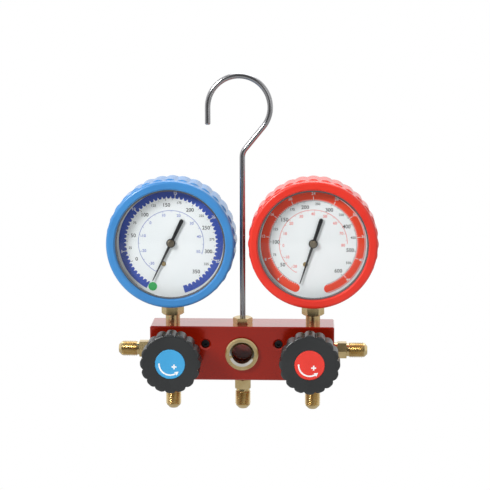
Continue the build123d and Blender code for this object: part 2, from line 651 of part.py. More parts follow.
def knob():
    """The lobed hand knob: a moulded cup with a hub, ribs and a recess for the badge."""
    radius = KNOB_DIAMETER / 2
    edge = KNOB_EDGE_RADIUS
    blank = extrude(
        Pos(0, 0, KNOB_REAR) * lobed_outline(KNOB_DIAMETER, KNOB_VALLEY_DEPTH, KNOB_LOBES),
        KNOB_THICKNESS,
    )
    side = Line((radius, KNOB_REAR + 0.8), (radius, KNOB_FRONT - edge))
    nose = ThreePointArc(
        (radius, KNOB_FRONT - edge),
        (radius - edge * (1 - cos(pi / 4)), KNOB_FRONT - edge * (1 - sin(pi / 4))),
        (radius - edge, KNOB_FRONT),
    )
    rest = Polyline(
        (radius - edge, KNOB_FRONT), (0, KNOB_FRONT), (0, KNOB_REAR),
        (radius - 0.8, KNOB_REAR), (radius, KNOB_REAR + 0.8),
    )
    blank &= revolve(Plane.XZ * make_face([side, nose, *rest.edges()]), Axis.Z)
    cup_radius = radius - KNOB_VALLEY_DEPTH - KNOB_WALL
    web_back = KNOB_FRONT - BADGE_RECESS - KNOB_WEB
    cup = ring(2 * cup_radius, KNOB_HUB_DIAMETER, KNOB_REAR - 1, web_back)
    rib_length = cup_radius - KNOB_HUB_DIAMETER / 2 + 1
    rib_depth = web_back - KNOB_REAR - 2
    rib = Pos(KNOB_HUB_DIAMETER / 2 + rib_length / 2 - 0.5, 0, web_back - rib_depth / 2)
    ribs = [
        Rot(0, 0, 360 / KNOB_RIBS * n) * rib * Box(rib_length, KNOB_RIB_THICKNESS, rib_depth)
        for n in range(KNOB_RIBS)
    ]
    body = blank - (cup - ribs)
    body -= rod(BADGE_DIAMETER + 0.4, KNOB_FRONT - BADGE_RECESS, KNOB_FRONT + 1)
    bore = rod(STEM_DIAMETER + 2 * THREAD_CLEARANCE, KNOB_REAR - 1, web_back + SEAT_CLEARANCE)
    flat_height = STEM_DIAMETER / 2 - STEM_FLAT_DEPTH + THREAD_CLEARANCE
    keeper = Pos(0, flat_height + STEM_DIAMETER / 2, KNOB_REAR)
    bore -= keeper * Box(STEM_DIAMETER * 2, STEM_DIAMETER, KNOB_THICKNESS * 3)
    head_room = KNOB_SCREW_HEAD_DIAMETER + 4 * THREAD_CLEARANCE
    body -= bore + rod(KNOB_SCREW_DIAMETER + 4 * THREAD_CLEARANCE, web_back, KNOB_FRONT)
    head_seat = KNOB_FRONT - BADGE_RECESS - KNOB_SCREW_HEAD_HEIGHT - SIDE_CLEARANCE
    return body - rod(head_room, head_seat, KNOB_FRONT)


def knob_badge():
    """The coloured disc pressed into the knob's face."""
    start = KNOB_FRONT - BADGE_RECESS + SEAT_CLEARANCE
    end = start + BADGE_THICKNESS
    radius = BADGE_DIAMETER / 2
    return turned((0, start), (radius, start), (radius, end - 0.3), (radius - 0.3, end), (0, end))


def knob_screw():
    """The screw that holds the knob on its stem."""
    seat = KNOB_FRONT - BADGE_RECESS - KNOB_SCREW_HEAD_HEIGHT - SIDE_CLEARANCE
    web_back = KNOB_FRONT - BADGE_RECESS - KNOB_WEB
    screw = rod(KNOB_SCREW_DIAMETER, web_back - KNOB_SCREW_LENGTH + DRILL_POINT_GAP, seat)
    screw += rod(KNOB_SCREW_HEAD_DIAMETER, seat, seat + KNOB_SCREW_HEAD_HEIGHT)
    slot = Pos(0, 0, seat + KNOB_SCREW_HEAD_HEIGHT)
    screw -= slot * Box(KNOB_SCREW_HEAD_DIAMETER * 2, 0.8, KNOB_SCREW_HEAD_HEIGHT)
    screw -= slot * Box(0.8, KNOB_SCREW_HEAD_DIAMETER * 2, KNOB_SCREW_HEAD_HEIGHT)
    return screw


def hand_valve(side, prefix):
    """All pieces of one valve, placed in the block."""
    place = facing_front(side * VALVE_SPACING, FRONT_FACE, MID_HEIGHT)
    pieces = {
        "valve_bonnet": bonnet,
        "stem_packing": packing,
        "gland_nut": gland_nut,
        "valve_stem": valve_stem,
        "valve_disc": valve_disc,
        "knob": knob,
        "knob_badge": knob_badge,
        "knob_screw": knob_screw,
    }
    return {f"{prefix}_{name}": place * make() for name, make in pieces.items()}


# ---- gauge housing ---------------------------------------------------------------------------------

def boot():
    """The rubber boot: a smooth front ring, a fluted side and a slot for the socket."""
    flute_end = BOOT_FRONT - BOOT_RING_LENGTH
    ring_radius, flute_radius = BOOT_RING_DIAMETER / 2, BOOT_FLUTE_DIAMETER / 2
    edge = BOOT_EDGE_RADIUS
    flutes = extrude(
        Pos(0, 0, -BOOT_REAR) * lobed_outline(BOOT_FLUTE_DIAMETER, BOOT_FLUTE_DEPTH, BOOT_FLUTES),
        flute_end + BOOT_REAR,
    )
    flutes &= turned(
        (0, -BOOT_REAR),
        (flute_radius - 1.2, -BOOT_REAR),
        (flute_radius, 1.2 - BOOT_REAR),
        (flute_radius, flute_end - 1.0),
        (flute_radius - 1.0, flute_end),
        (0, flute_end),
    )
    side = Line((ring_radius, flute_end - 2), (ring_radius, BOOT_FRONT - edge))
    nose = ThreePointArc(
        (ring_radius, BOOT_FRONT - edge),
        (ring_radius - edge * (1 - cos(pi / 4)), BOOT_FRONT - edge * (1 - sin(pi / 4))),
        (ring_radius - edge, BOOT_FRONT),
    )
    rest = Polyline(
        (ring_radius - edge, BOOT_FRONT), (0, BOOT_FRONT), (0, flute_end - 2),
        (ring_radius, flute_end - 2),
    )
    outer = flutes + revolve(Plane.XZ * make_face([side, nose, *rest.edges()]), Axis.Z)
    opening, rear = BOOT_OPENING_DIAMETER / 2, BOOT_REAR_DIAMETER / 2
    bezel_room = BEZEL_DIAMETER / 2 + SEAT_CLEARANCE
    case_room = CASE_DIAMETER / 2 + SEAT_CLEARANCE
    outer -= turned(
        (0, -BOOT_REAR - 1),
        (rear, -BOOT_REAR - 1),
        (rear, -CASE_REAR - SEAT_CLEARANCE),
        (case_room, -CASE_REAR - SEAT_CLEARANCE),
        (case_room, BEZEL_REAR - SEAT_CLEARANCE),
        (bezel_room, BEZEL_REAR - SEAT_CLEARANCE),
        (bezel_room, BEZEL_FRONT + SEAT_CLEARANCE),
        (opening, BEZEL_FRONT + SEAT_CLEARANCE),
        (opening, BOOT_FRONT - 1.0),
        (opening + 1.0, BOOT_FRONT),
        (opening + 1.0, BOOT_FRONT + 1),
        (0, BOOT_FRONT + 1),
    )
    slot_width = SOCKET_HEX_FLATS / cos(pi / 6) + 4 * SIDE_CLEARANCE
    slot = Rot(90, 0, 0) * rod(slot_width, 0, BOOT_FLUTE_DIAMETER)
    slot += Pos(0, -BOOT_FLUTE_DIAMETER / 2, -BOOT_REAR) * Box(
        slot_width, BOOT_FLUTE_DIAMETER, 2 * BOOT_REAR
    )
    return outer - slot


def gauge_case():
    """The drawn steel case: bead for the bezel, ledge for the dial, hole for the socket."""
    outside = CASE_DIAMETER / 2
    bead = BEZEL_DIAMETER / 2 - BEZEL_WALL - SEAT_CLEARANCE
    ledge = CASE_BORE_RADIUS - DIAL_LEDGE
    dial_back = DIAL_FACE - DIAL_THICKNESS - SEAT_CLEARANCE
    case = turned(
        (0, -CASE_REAR),
        (outside - 1.5, -CASE_REAR),
        (outside, 1.5 - CASE_REAR),
        (outside, BEZEL_REAR),
        (bead, BEZEL_REAR),
        (bead, BEZEL_REAR + CASE_BEAD_LENGTH),
        (outside, BEZEL_REAR + CASE_BEAD_LENGTH),
        (outside, CASE_FRONT),
        (CASE_BORE_RADIUS, CASE_FRONT),
        (CASE_BORE_RADIUS, dial_back),
        (ledge, dial_back),
        (ledge, dial_back - CASE_WALL),
        (CASE_BORE_RADIUS, dial_back - CASE_WALL - DIAL_LEDGE),
        (CASE_BORE_RADIUS, CASE_WALL - CASE_REAR + 1.2),
        (CASE_BORE_RADIUS - 1.2, CASE_WALL - CASE_REAR),
        (0, CASE_WALL - CASE_REAR),
    )
    neck_hole = SOCKET_NECK_DIAMETER + 2 * SEAT_CLEARANCE
    case -= Rot(90, 0, 0) * rod(neck_hole, SOCKET_BLOCK_FOOT - 3, CASE_DIAMETER / 2 + 1)
    screw_hole = CASE_SCREW_DIAMETER + 2 * THREAD_CLEARANCE
    for side in (-1, 1):
        place = Pos(side * CASE_SCREW_SPACING, -CASE_SCREW_DROP, 0)
        case -= place * rod(screw_hole, -CASE_REAR - 1, CASE_WALL - CASE_REAR + 1)
    return case


def bezel():
    """The bright ring that clamps the lens to the case."""
    outside = BEZEL_DIAMETER / 2
    inside = outside - BEZEL_WALL
    sight = BEZEL_SIGHT_DIAMETER / 2
    return turned(
        (inside, BEZEL_REAR),
        (outside, BEZEL_REAR),
        (outside, BEZEL_FRONT - 0.5),
        (outside - 0.5, BEZEL_FRONT),
        (sight, BEZEL_FRONT),
        (sight, LENS_FRONT),
        (inside, LENS_FRONT),
    )


def lens():
    """The clear window."""
    diameter = BEZEL_DIAMETER - 2 * BEZEL_WALL - 4 * SEAT_CLEARANCE
    return rod(diameter, LENS_REAR, LENS_FRONT)


def lens_gasket():
    """The flat ring between the case's rim and the lens."""
    return ring(CASE_DIAMETER, 2 * CASE_BORE_RADIUS, CASE_FRONT, LENS_REAR)


def dial():
    """The dial plate, with holes for the arbor and the calibration screw."""
    plate = rod(2 * (CASE_BORE_RADIUS - SEAT_CLEARANCE), DIAL_FACE - DIAL_THICKNESS, DIAL_FACE)
    plate -= rod(DIAL_BORE_DIAMETER, 0, DIAL_FACE + 1)
    hole = CALIBRATION_HEAD_DIAMETER + 2 * SIDE_CLEARANCE
    return plate - Pos(*CALIBRATION_PLACE) * rod(hole, 0, DIAL_FACE + 1)


# ---- gauge movement ------------------------------------------------------------------------------------

def tube_section(inset=0.0):
    """The flattened section of the Bourdon tube, drawn at the coil's radius."""
    thick, wide = TUBE_THICKNESS - 2 * inset, TUBE_WIDTH - 2 * inset
    section = Rectangle(thick, wide)
    section = chamfer(section.vertices(), thick * TUBE_CORNER_SHARE)
    return Pos(COIL_RADIUS, TUBE_MIDDLE) * section


def coil(section, start, sweep_angle):
    """A length of the coil, clockwise from an angle as the user sees it."""
    turned_section = revolve(Plane.XZ * section, Axis.Z, revolution_arc=sweep_angle)
    return Rot(0, 0, start - sweep_angle) * turned_section


def bourdon_tube():
    """The coiled tube with its closed tip, whose arm carries the link."""
    tip_angle = degrees(TIP_LENGTH / COIL_RADIUS) / 2
    skin = coil(tube_section(), TUBE_START, TUBE_SWEEP)
    skin -= coil(tube_section(TUBE_WALL), TUBE_START, TUBE_SWEEP - tip_angle)
    eye = Vector(TIP_EYE_ACROSS, -TIP_EYE_DROP)
    root_radius = COIL_RADIUS - TUBE_THICKNESS / 4
    root = Vector(*polar(root_radius, TUBE_START - TUBE_SWEEP + tip_angle))
    run = root - eye
    arm_face = SECTOR_FACE - RUNNING_CLEARANCE * 2
    arm = SlotCenterToCenter(run.length, TIP_ARM_WIDTH)
    arm = extrude(arm, SECTOR_THICKNESS)
    middle = (root + eye) / 2
    turn = degrees(atan2(run.Y, run.X))
    arm = Pos(middle.X, middle.Y, arm_face - SECTOR_THICKNESS) * Rot(0, 0, turn) * arm
    return skin + arm


def socket():
    """The brass socket: pipe stub, hexagon, neck and the block that holds the movement."""
    hex_start = SOCKET_FOOT + SOCKET_HEX_RISE
    hex_end = hex_start + SOCKET_HEX_LENGTH
    stub_end = SOCKET_FOOT - SOCKET_THREAD_DEPTH
    stub = SOCKET_THREAD_DIAMETER / 2
    upright = Rot(-90, 0, 0)
    body = turned(
        (0, stub_end),
        (stub - 0.7, stub_end),
        (stub, stub_end + 0.7),
        (stub, hex_start + 1),
        (SOCKET_NECK_DIAMETER / 2, hex_start + 1),
        (SOCKET_NECK_DIAMETER / 2, -SOCKET_BLOCK_FOOT + 2),
        (0, -SOCKET_BLOCK_FOOT + 2),
    )
    body += hexagon(SOCKET_HEX_FLATS, hex_start, hex_end, 1.2)
    body = upright * body
    back = CASE_WALL - CASE_REAR + SEAT_CLEARANCE
    half = SOCKET_BLOCK_WIDTH / 2
    tongue_front = BACK_PLATE_BACK
    body += block_between(
        (-half, -SOCKET_BLOCK_FOOT, back), (half, -SOCKET_BLOCK_HEAD, SOCKET_BLOCK_FRONT)
    )
    body += block_between(
        (-SOCKET_TONGUE_WIDTH / 2, -SOCKET_BLOCK_HEAD - 1, tongue_front - SOCKET_TONGUE_THICKNESS),
        (SOCKET_TONGUE_WIDTH / 2, -SOCKET_TONGUE_HEAD, tongue_front),
    )
    lobe_left = -half - SOCKET_LOBE_WIDTH / 2
    lobe_back = TUBE_MIDDLE - TUBE_WIDTH / 2 - 1
    lobe_front = TUBE_MIDDLE + TUBE_WIDTH / 2 + 1
    body += block_between(
        (lobe_left, -SOCKET_LOBE_FOOT, lobe_back),
        (lobe_left + SOCKET_LOBE_WIDTH, SOCKET_LOBE_HEIGHT - SOCKET_LOBE_FOOT, lobe_front),
    )
    body -= coil(tube_section(-SEAT_CLEARANCE), TUBE_START + 1, 30)
    bore_top = -SOCKET_BLOCK_HEAD - 1.5
    body -= upright * rod(SOCKET_BORE_DIAMETER, stub_end - 1, bore_top)
    tube_root = Vector(*polar(COIL_RADIUS, TUBE_START), TUBE_MIDDLE)
    body -= drilling((0, bore_top - 1, 0), tube_root, SOCKET_BORE_DIAMETER * 0.8)
    for side in (-1, 1):
        place = Pos(side * MOVEMENT_SCREW_SPACING, -MOVEMENT_SCREW_DROP, 0)
        hole = MOVEMENT_SCREW_DIAMETER + 2 * THREAD_CLEARANCE
        body -= place * rod(hole, tongue_front - SOCKET_TONGUE_THICKNESS - 1, tongue_front + 1)
        place = Pos(side * CASE_SCREW_SPACING, -CASE_SCREW_DROP, 0)
        hole = CASE_SCREW_DIAMETER + 2 * THREAD_CLEARANCE
        body -= place * rod(hole, back - 1, back + CASE_SCREW_GRIP + SIDE_CLEARANCE)
    return body


def block_between(low, high):
    """A box between two corners."""
    size = [b - a for a, b in zip(low, high)]
    middle = [(a + b) / 2 for a, b in zip(low, high)]
    return Pos(*middle) * Box(*size)


def movement_plates():
    """The front plate with the hairspring stud, and the back plate with its pillars."""
    corners = [Pos(x, y) * Circle(r) for x, y, r in PLATE_CORNERS]
    outline = make_hull(Sketch(children=corners).edges())
    pivots = [(0.0, 0.0), SECTOR_PIVOT]
    back = extrude(Pos(0, 0, BACK_PLATE_BACK) * outline, PLATE_THICKNESS)
    front = extrude(Pos(0, 0, FRONT_PLATE_BACK) * outline, PLATE_THICKNESS)
    pivot_hole = PIVOT_DIAMETER + 2 * RUNNING_CLEARANCE
    for x, y in pivots:
        back -= Pos(x, y) * rod(pivot_hole, BACK_PLATE_BACK - 1, BACK_PLATE_FACE + 1)
    front -= rod(ARBOR_DIAMETER + 2 * RUNNING_CLEARANCE, FRONT_PLATE_BACK - 1, FRONT_PLATE_FACE + 1)
    front -= Pos(*SECTOR_PIVOT) * rod(pivot_hole, FRONT_PLATE_BACK - 1, FRONT_PLATE_FACE + 1)
    adjuster_hole = CALIBRATION_SHANK_DIAMETER + 2 * THREAD_CLEARANCE
    front -= Pos(*CALIBRATION_PLACE) * rod(adjuster_hole, FRONT_PLATE_BACK - 1, FRONT_PLATE_FACE + 1)
    stud_x = HAIRSPRING_OUTER_RADIUS + HAIRSPRING_STRIP + 0.6
    stud = Pos(stud_x, 0) * rod(1.1, FRONT_PLATE_BACK - 1.4, FRONT_PLATE_BACK + 0.5)
    lug = Pos(stud_x / 2, 0, FRONT_PLATE_BACK) * extrude(
        SlotCenterToCenter(stud_x, 2.4), PLATE_THICKNESS
    )
    lug -= rod(ARBOR_DIAMETER + 2 * RUNNING_CLEARANCE, FRONT_PLATE_BACK - 1, FRONT_PLATE_FACE + 1)
    front += lug + stud
    for x, y in PILLAR_PLACES:
        back += Pos(x, y) * rod(PILLAR_DIAMETER, BACK_PLATE_FACE - 0.5, FRONT_PLATE_BACK)
    for side in (-1, 1):
        place = Pos(side * MOVEMENT_SCREW_SPACING, -MOVEMENT_SCREW_DROP, 0)
        hole = MOVEMENT_SCREW_DIAMETER + 2 * THREAD_CLEARANCE
        back -= place * rod(hole, BACK_PLATE_BACK - 1, BACK_PLATE_FACE + 1)
        access = 2 * MOVEMENT_SCREW_DIAMETER
        front -= place * rod(access, FRONT_PLATE_BACK - 1, FRONT_PLATE_FACE + 1)
    return [front, back]


def tooth(teeth, addendum):
    """One involute tooth on +X, for a gear of this many teeth, thinned for backlash."""
    pitch_radius = GEAR_MODULE * teeth / 2
    base = pitch_radius * cos(radians(PRESSURE_ANGLE))
    tip = pitch_radius + addendum
    root = pitch_radius - 1.25 * GEAR_MODULE
    half_width = (pi * GEAR_MODULE / 2 - GEAR_BACKLASH) / 2 / pitch_radius
    slope = radians(PRESSURE_ANGLE)
    middle = half_width + tan(slope) - slope

    def flank_angle(radius):
        lean = acos(min(1.0, base / radius))
        return middle - (tan(lean) - lean)

    start = max(base, root)
    radii = [start + (tip - start) * step / 3 for step in range(4)]
    upper = [Vector(*polar(r, degrees(flank_angle(r)))) for r in radii]
    lower = [Vector(p.X, -p.Y) for p in upper]
    foot = Vector(root - 0.1, upper[0].Y * 0.9)
    return make_face([
        Line(Vector(foot.X, -foot.Y), lower[0]),
        Spline(lower),
        ThreePointArc(lower[-1], Vector(tip, 0), upper[-1]),
        Spline(upper[::-1]),
        Line(upper[0], foot),
        Line(foot, Vector(foot.X, -foot.Y)),
    ])


def sector_gear(stroke):
    """The toothed sector on its arbor, with the tail that the link pulls."""
    pitch = 360 / SECTOR_FULL_TEETH
    swept = int(stroke / GEAR_RATIO / pitch) + 1
    first, last = -swept - SECTOR_SPARE_TEETH, SECTOR_SPARE_TEETH
    root = SECTOR_RADIUS - 1.25 * GEAR_MODULE
    rim_start, rim_end = 90 + (first - 0.5) * pitch, 90 + (last + 0.5) * pitch
    middle = (rim_start + rim_end) / 2
    spread = (rim_end - rim_start) / 2
    rim_inner = root - SECTOR_RIM
    outer_arc = CenterArc((0, 0), root, rim_start, rim_end - rim_start)
    inner_arc = CenterArc((0, 0), rim_inner, rim_start, rim_end - rim_start)
    sides = [Line(outer_arc @ 0, inner_arc @ 0), Line(outer_arc @ 1, inner_arc @ 1)]
    plate = make_face([outer_arc, inner_arc, *sides])
    blank = tooth(SECTOR_FULL_TEETH, 0.85 * GEAR_MODULE)
    plate += [Rot(0, 0, 90 + n * pitch) * blank for n in range(first, last + 1)]
    for angle in (middle - spread * 0.6, middle + spread * 0.6):
        far = rim_inner + SECTOR_RIM / 2
        plate += Rot(0, 0, angle) * Pos(far / 2, 0) * Rectangle(far, SECTOR_ARM_WIDTH * 0.6)
    plate += Circle(SECTOR_ARM_WIDTH * 0.8)
    tail = SlotCenterToCenter(TAIL_LENGTH, SECTOR_ARM_WIDTH)
    plate += Rot(0, 0, TAIL_ANGLE) * Pos(TAIL_LENGTH / 2, 0) * tail
    gear = extrude(Pos(0, 0, -SECTOR_FACE) * plate, SECTOR_THICKNESS)
    low, high = BACK_PLATE_FACE + 2 * RUNNING_CLEARANCE, FRONT_PLATE_BACK - 2 * RUNNING_CLEARANCE
    gear += rod(ARBOR_DIAMETER, low, high)
    gear += rod(PIVOT_DIAMETER, BACK_PLATE_BACK + RUNNING_CLEARANCE, low)
    gear += rod(PIVOT_DIAMETER, high, FRONT_PLATE_FACE)
    pin_x, pin_y = polar(TAIL_LENGTH, TAIL_ANGLE)
    pin_end = LINK_PLANE + LINK_THICKNESS + 0.3
    gear += Pos(pin_x, pin_y) * rod(LINK_PIN_DIAMETER, 0, pin_end)
    return Pos(*SECTOR_PIVOT) * gear


def pinion():
    """The pinion on its arbor, which runs out through the dial to the pointer."""
    outline = Circle(PINION_RADIUS - 1.25 * GEAR_MODULE)
    blank = tooth(PINION_TEETH, GEAR_MODULE)
    pitch = 360 / PINION_TEETH
    outline += [Rot(0, 0, -90 + (n + 0.5) * pitch) * blank for n in range(PINION_TEETH)]
    low = BACK_PLATE_FACE + 2 * RUNNING_CLEARANCE
    start = -SECTOR_FACE - 0.7
    gear = extrude(Pos(0, 0, start) * outline, PINION_LENGTH)
    gear += rod(ARBOR_DIAMETER, low, POINTER_PLANE + POINTER_THICKNESS + POINTER_BOSS_HEIGHT * 0.7)
    gear += rod(PIVOT_DIAMETER, BACK_PLATE_BACK + RUNNING_CLEARANCE, low)
    return gear + rod(COLLET_DIAMETER, start + PINION_LENGTH, FRONT_PLATE_BACK - SIDE_CLEARANCE)


def link():
    """The flat link from the sector's tail to the tube's tip."""
    tail = Vector(*SECTOR_PIVOT) + Vector(*polar(TAIL_LENGTH, TAIL_ANGLE))
    eye = Vector(TIP_EYE_ACROSS, -TIP_EYE_DROP)
    run = eye - tail
    bar = SlotCenterToCenter(run.length, LINK_WIDTH * 0.6)
    ends = [Pos(side * run.length / 2, 0) * Circle(LINK_WIDTH / 2) for side in (-1, 1)]
    hole = Circle(LINK_PIN_DIAMETER / 2 + RUNNING_CLEARANCE)
    holes = [Pos(side * run.length / 2, 0) * hole for side in (-1, 1)]
    plate = extrude(bar + ends - holes, LINK_THICKNESS)
    middle = (tail + eye) / 2
    return Pos(middle.X, middle.Y, LINK_PLANE) * Rot(0, 0, degrees(atan2(run.Y, run.X))) * plate


def hairspring():
    """The flat spiral that takes up the play in the gears, bent in half turns."""
    growth = (HAIRSPRING_OUTER_RADIUS - HAIRSPRING_INNER_RADIUS) / (2 * HAIRSPRING_TURNS)
    strip = Sketch()
    for turn in range(int(2 * HAIRSPRING_TURNS)):
        middle = Pos(growth / 2 * (-1) ** turn, 0)
        radius = HAIRSPRING_INNER_RADIUS + growth * (turn + 0.5)
        half = Circle(radius + HAIRSPRING_STRIP) - Circle(radius)
        side = -1 if turn % 2 else 1
        room = 2 * HAIRSPRING_OUTER_RADIUS
        strip += middle * half & Pos(0, side * room) * Rectangle(2 * room, 2 * room)
    top = FRONT_PLATE_BACK - SIDE_CLEARANCE
    return extrude(Pos(0, 0, top - HAIRSPRING_WIDTH) * strip, HAIRSPRING_WIDTH)


def calibration_screw():
    """The slotted brass screw that shows through the dial."""
    head_start = DIAL_FACE - 0.4
    screw = rod(CALIBRATION_SHANK_DIAMETER, FRONT_PLATE_BACK - 0.5, head_start)
    screw += rod(CALIBRATION_HEAD_DIAMETER, head_start, head_start + 1.0)
    slot = Pos(0, 0, head_start + 1.0) * Box(CALIBRATION_HEAD_DIAMETER * 2, 0.5, 0.8)
    return Pos(*CALIBRATION_PLACE) * (screw - slot)


def movement_screws():
    """The two screws that hold the back plate to the socket's tongue."""
    head = MOVEMENT_SCREW_DIAMETER * 1.7
    tongue_back = BACK_PLATE_BACK - SOCKET_TONGUE_THICKNESS
    screw = rod(MOVEMENT_SCREW_DIAMETER, tongue_back, BACK_PLATE_FACE)
    screw += rod(head, BACK_PLATE_FACE, BACK_PLATE_FACE + 0.8)
    screw -= Pos(0, 0, BACK_PLATE_FACE + 0.8) * Box(head * 2, 0.4, 0.6)
    return [
        Pos(side * MOVEMENT_SCREW_SPACING, -MOVEMENT_SCREW_DROP) * screw for side in (-1, 1)
    ]


def case_screws():
    """The two screws through the case's back into the socket."""
    head = CASE_SCREW_DIAMETER * 1.8
    crown = -CASE_REAR - CASE_SCREW_HEAD_HEIGHT
    screw = rod(CASE_SCREW_DIAMETER, -CASE_REAR, CASE_WALL - CASE_REAR + CASE_SCREW_GRIP)
    screw += rod(head, crown, -CASE_REAR)
    screw -= Pos(0, 0, crown) * Box(head * 2, head / 8, CASE_SCREW_HEAD_HEIGHT)
    return [Pos(side * CASE_SCREW_SPACING, -CASE_SCREW_DROP) * screw for side in (-1, 1)]


def pointer(zero):
    """The pointer at rest on zero: a tapered tip, a broad tail and a turned boss."""
    root, tip, tail = POINTER_ROOT_WIDTH / 2, POINTER_TIP_WIDTH / 2, POINTER_TAIL_WIDTH / 2
    tip_shoulder = POINTER_TIP_LENGTH - POINTER_END_LENGTH
    tail_shoulder = POINTER_END_LENGTH - POINTER_TAIL_LENGTH
    tail_end = tail / 2
    blade = make_face(Polyline(
        (-root, 0), (-tip, tip_shoulder), (0, POINTER_TIP_LENGTH), (tip, tip_shoulder),
        (root, 0), (tail, tail_shoulder), (tail_end, -POINTER_TAIL_LENGTH),
        (-tail_end, -POINTER_TAIL_LENGTH), (-tail, tail_shoulder), close=True,
    ))
    plate = extrude(blade + Circle(POINTER_HUB_DIAMETER / 2), POINTER_THICKNESS)
    boss = POINTER_BOSS_DIAMETER / 2
    height = POINTER_THICKNESS + POINTER_BOSS_HEIGHT
    edge = boss - POINTER_BOSS_EDGE
    plate += turned((0, 0), (boss, 0), (boss, height - POINTER_BOSS_EDGE), (edge, height), (0, height))
    plate -= rod(ARBOR_DIAMETER + 2 * SEAT_CLEARANCE, -1, height - SIDE_CLEARANCE)
    return Pos(0, 0, POINTER_PLANE) * Rot(0, 0, -zero) * plate


def gauge_place(side):
    """Where a gauge stands: its axis above the port, its face to the user."""
    return facing_front(side * GAUGE_SPACING, 0, GAUGE_RISE)


def gauge(side, prefix, zero, scale_run):
    """All pieces of one gauge that have nodes of their own."""
    pieces = {
        "gauge_boot": boot(),
        "gauge_case": gauge_case(),
        "gauge_bezel": bezel(),
        "gauge_lens": lens(),
        "gauge_dial": dial(),
        "gauge_socket": socket(),
        "bourdon_tube": bourdon_tube(),
        "movement_plates": movement_plates(),
        "sector_gear": sector_gear(scale_run),
        "pointer_pinion": pinion(),
        "movement_link": link(),
        "hairspring": hairspring(),
        "calibration_screw": calibration_screw(),
        "pointer": pointer(zero),
    }
    place = gauge_place(side)
    return {f"{prefix}_{name}": placed(place, piece) for name, piece in pieces.items()}


def placed(place, piece):
    """A piece, or each piece of a group, moved to its place."""
    if isinstance(piece, list):
        return [place * one for one in piece]
    return place * piece


def shared_fasteners():
    """Small pieces that both gauges have alike, each kind as one group."""
    both = [gauge_place(side) for side in (-1, 1)]
    return {
        "lens_gaskets": [place * lens_gasket() for place in both],
        "movement_screws": [place * screw for place in both for screw in movement_screws()],
        "case_screws": [place * screw for place in both for screw in case_screws()],
    }


# ---- the whole set -------------------------------------------------------------------------------------------

def whole_set():
    """Every node by name."""
    nodes = {
        "manifold_body": manifold_body(),
        "blanking_screws": blanking_screws(),
        "hook": hook(),
        "hook_bush": hook_bush(),
        "bonnet_o_rings": bonnet_seals(),
    }
    nodes |= connections() | sight_glass() | shared_fasteners()
    nodes |= hand_valve(-1, "low") | hand_valve(1, "high")
    nodes |= gauge(-1, "low", LOW_ZERO, LOW_SCALE) | gauge(1, "high", HIGH_ZERO, HIGH_SCALE)
    return nodes


def write(nodes):
    """One STEP file per node, hung from the origin."""
    os.makedirs("parts", exist_ok=True)
    hang = Pos(0, 0, -HOOK_CROWN_SEAT)
    for name, piece in nodes.items():
        group = piece if isinstance(piece, list) else [piece]
        solids = [hang * solid for one in group for solid in one.solids()]
        shape = solids[0] if len(solids) == 1 else Compound(children=solids)
        export_step(shape, f"parts/{name}.step")


write(whole_set())
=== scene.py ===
"""Dresses a two-gauge refrigerant manifold: finishes, threads, dial printing, light and camera."""

from __future__ import annotations

import json
import logging
import math
import sys
from dataclasses import dataclass, field, replace
from enum import Enum

import bpy
from mathutils import Matrix, Vector


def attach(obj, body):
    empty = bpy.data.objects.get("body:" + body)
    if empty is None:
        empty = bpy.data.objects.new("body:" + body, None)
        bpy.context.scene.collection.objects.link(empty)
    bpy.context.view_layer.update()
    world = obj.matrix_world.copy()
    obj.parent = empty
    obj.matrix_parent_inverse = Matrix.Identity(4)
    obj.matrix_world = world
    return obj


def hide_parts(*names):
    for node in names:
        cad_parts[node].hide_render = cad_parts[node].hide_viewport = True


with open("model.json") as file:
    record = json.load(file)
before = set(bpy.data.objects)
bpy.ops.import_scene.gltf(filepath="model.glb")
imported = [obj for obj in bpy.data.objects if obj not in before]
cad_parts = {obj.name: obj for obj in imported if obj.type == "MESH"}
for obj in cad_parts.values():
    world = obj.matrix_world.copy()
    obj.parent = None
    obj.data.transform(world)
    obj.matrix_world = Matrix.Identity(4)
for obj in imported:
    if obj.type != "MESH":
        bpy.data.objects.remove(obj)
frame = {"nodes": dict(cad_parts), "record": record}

log = logging.getLogger("refrigerant_manifold")

MM = 0.001
ORIGIN_RISE = 174.6  # the origin, under the hook's crown, above the block's top face

PINHOLE = 0.02  # radius of the hole left in the middle of a turned disc
SAME_POINT = 1e-7  # metres: points closer than this are one
SMOOTH_ANGLE = 34.0  # degrees: edges flatter than this are shaded smooth
BAND_STEP = 3.0  # degrees of a curved band to one face
FEWEST_STEPS = 3  # faces along the shortest curved band
DIGIT_SHARE = 0.7  # height of a digit as a share of its font's size
DIGIT_WEIGHT = 0.02  # how far a digit's outline is thickened, as a share of its height
DIGIT_CURVE_STEPS = 3  # points between the corners of a digit's curves

Ring = tuple[float, float]  # radius and height in millimetres


class Side(Enum):
    """The two halves of the set, as a user faces it."""

    LOW = "low"
    HIGH = "high"

    @property
    def sign(self) -> int:
        """Which way the half lies along X."""
        return -1 if self is Side.LOW else 1


class Grain(Enum):
    """How a surface was made, as the stretch of its texture along X, Y and Z."""

    EVEN = (1.0, 1.0, 1.0)
    DRAWN_ALONG_X = (0.05, 1.0, 1.0)
    TURNED_ABOUT_Z = (1.0, 1.0, 12.0)


# ---- modelling helpers ---------------------------------------------------------------


def linear(colour: str) -> tuple[float, float, float, float]:
    """Turns an sRGB hex colour to the linear one that Blender shades with.

    Args:
        colour: Six hex digits after a hash.

    Returns:
        Red, green, blue and an alpha of 1.
    """
    shares = [int(colour[n : n + 2], 16) / 255 for n in (1, 3, 5)]
    red, green, blue = (c / 12.92 if c <= 0.04045 else ((c + 0.055) / 1.055) ** 2.4 for c in shares)
    return red, green, blue, 1.0


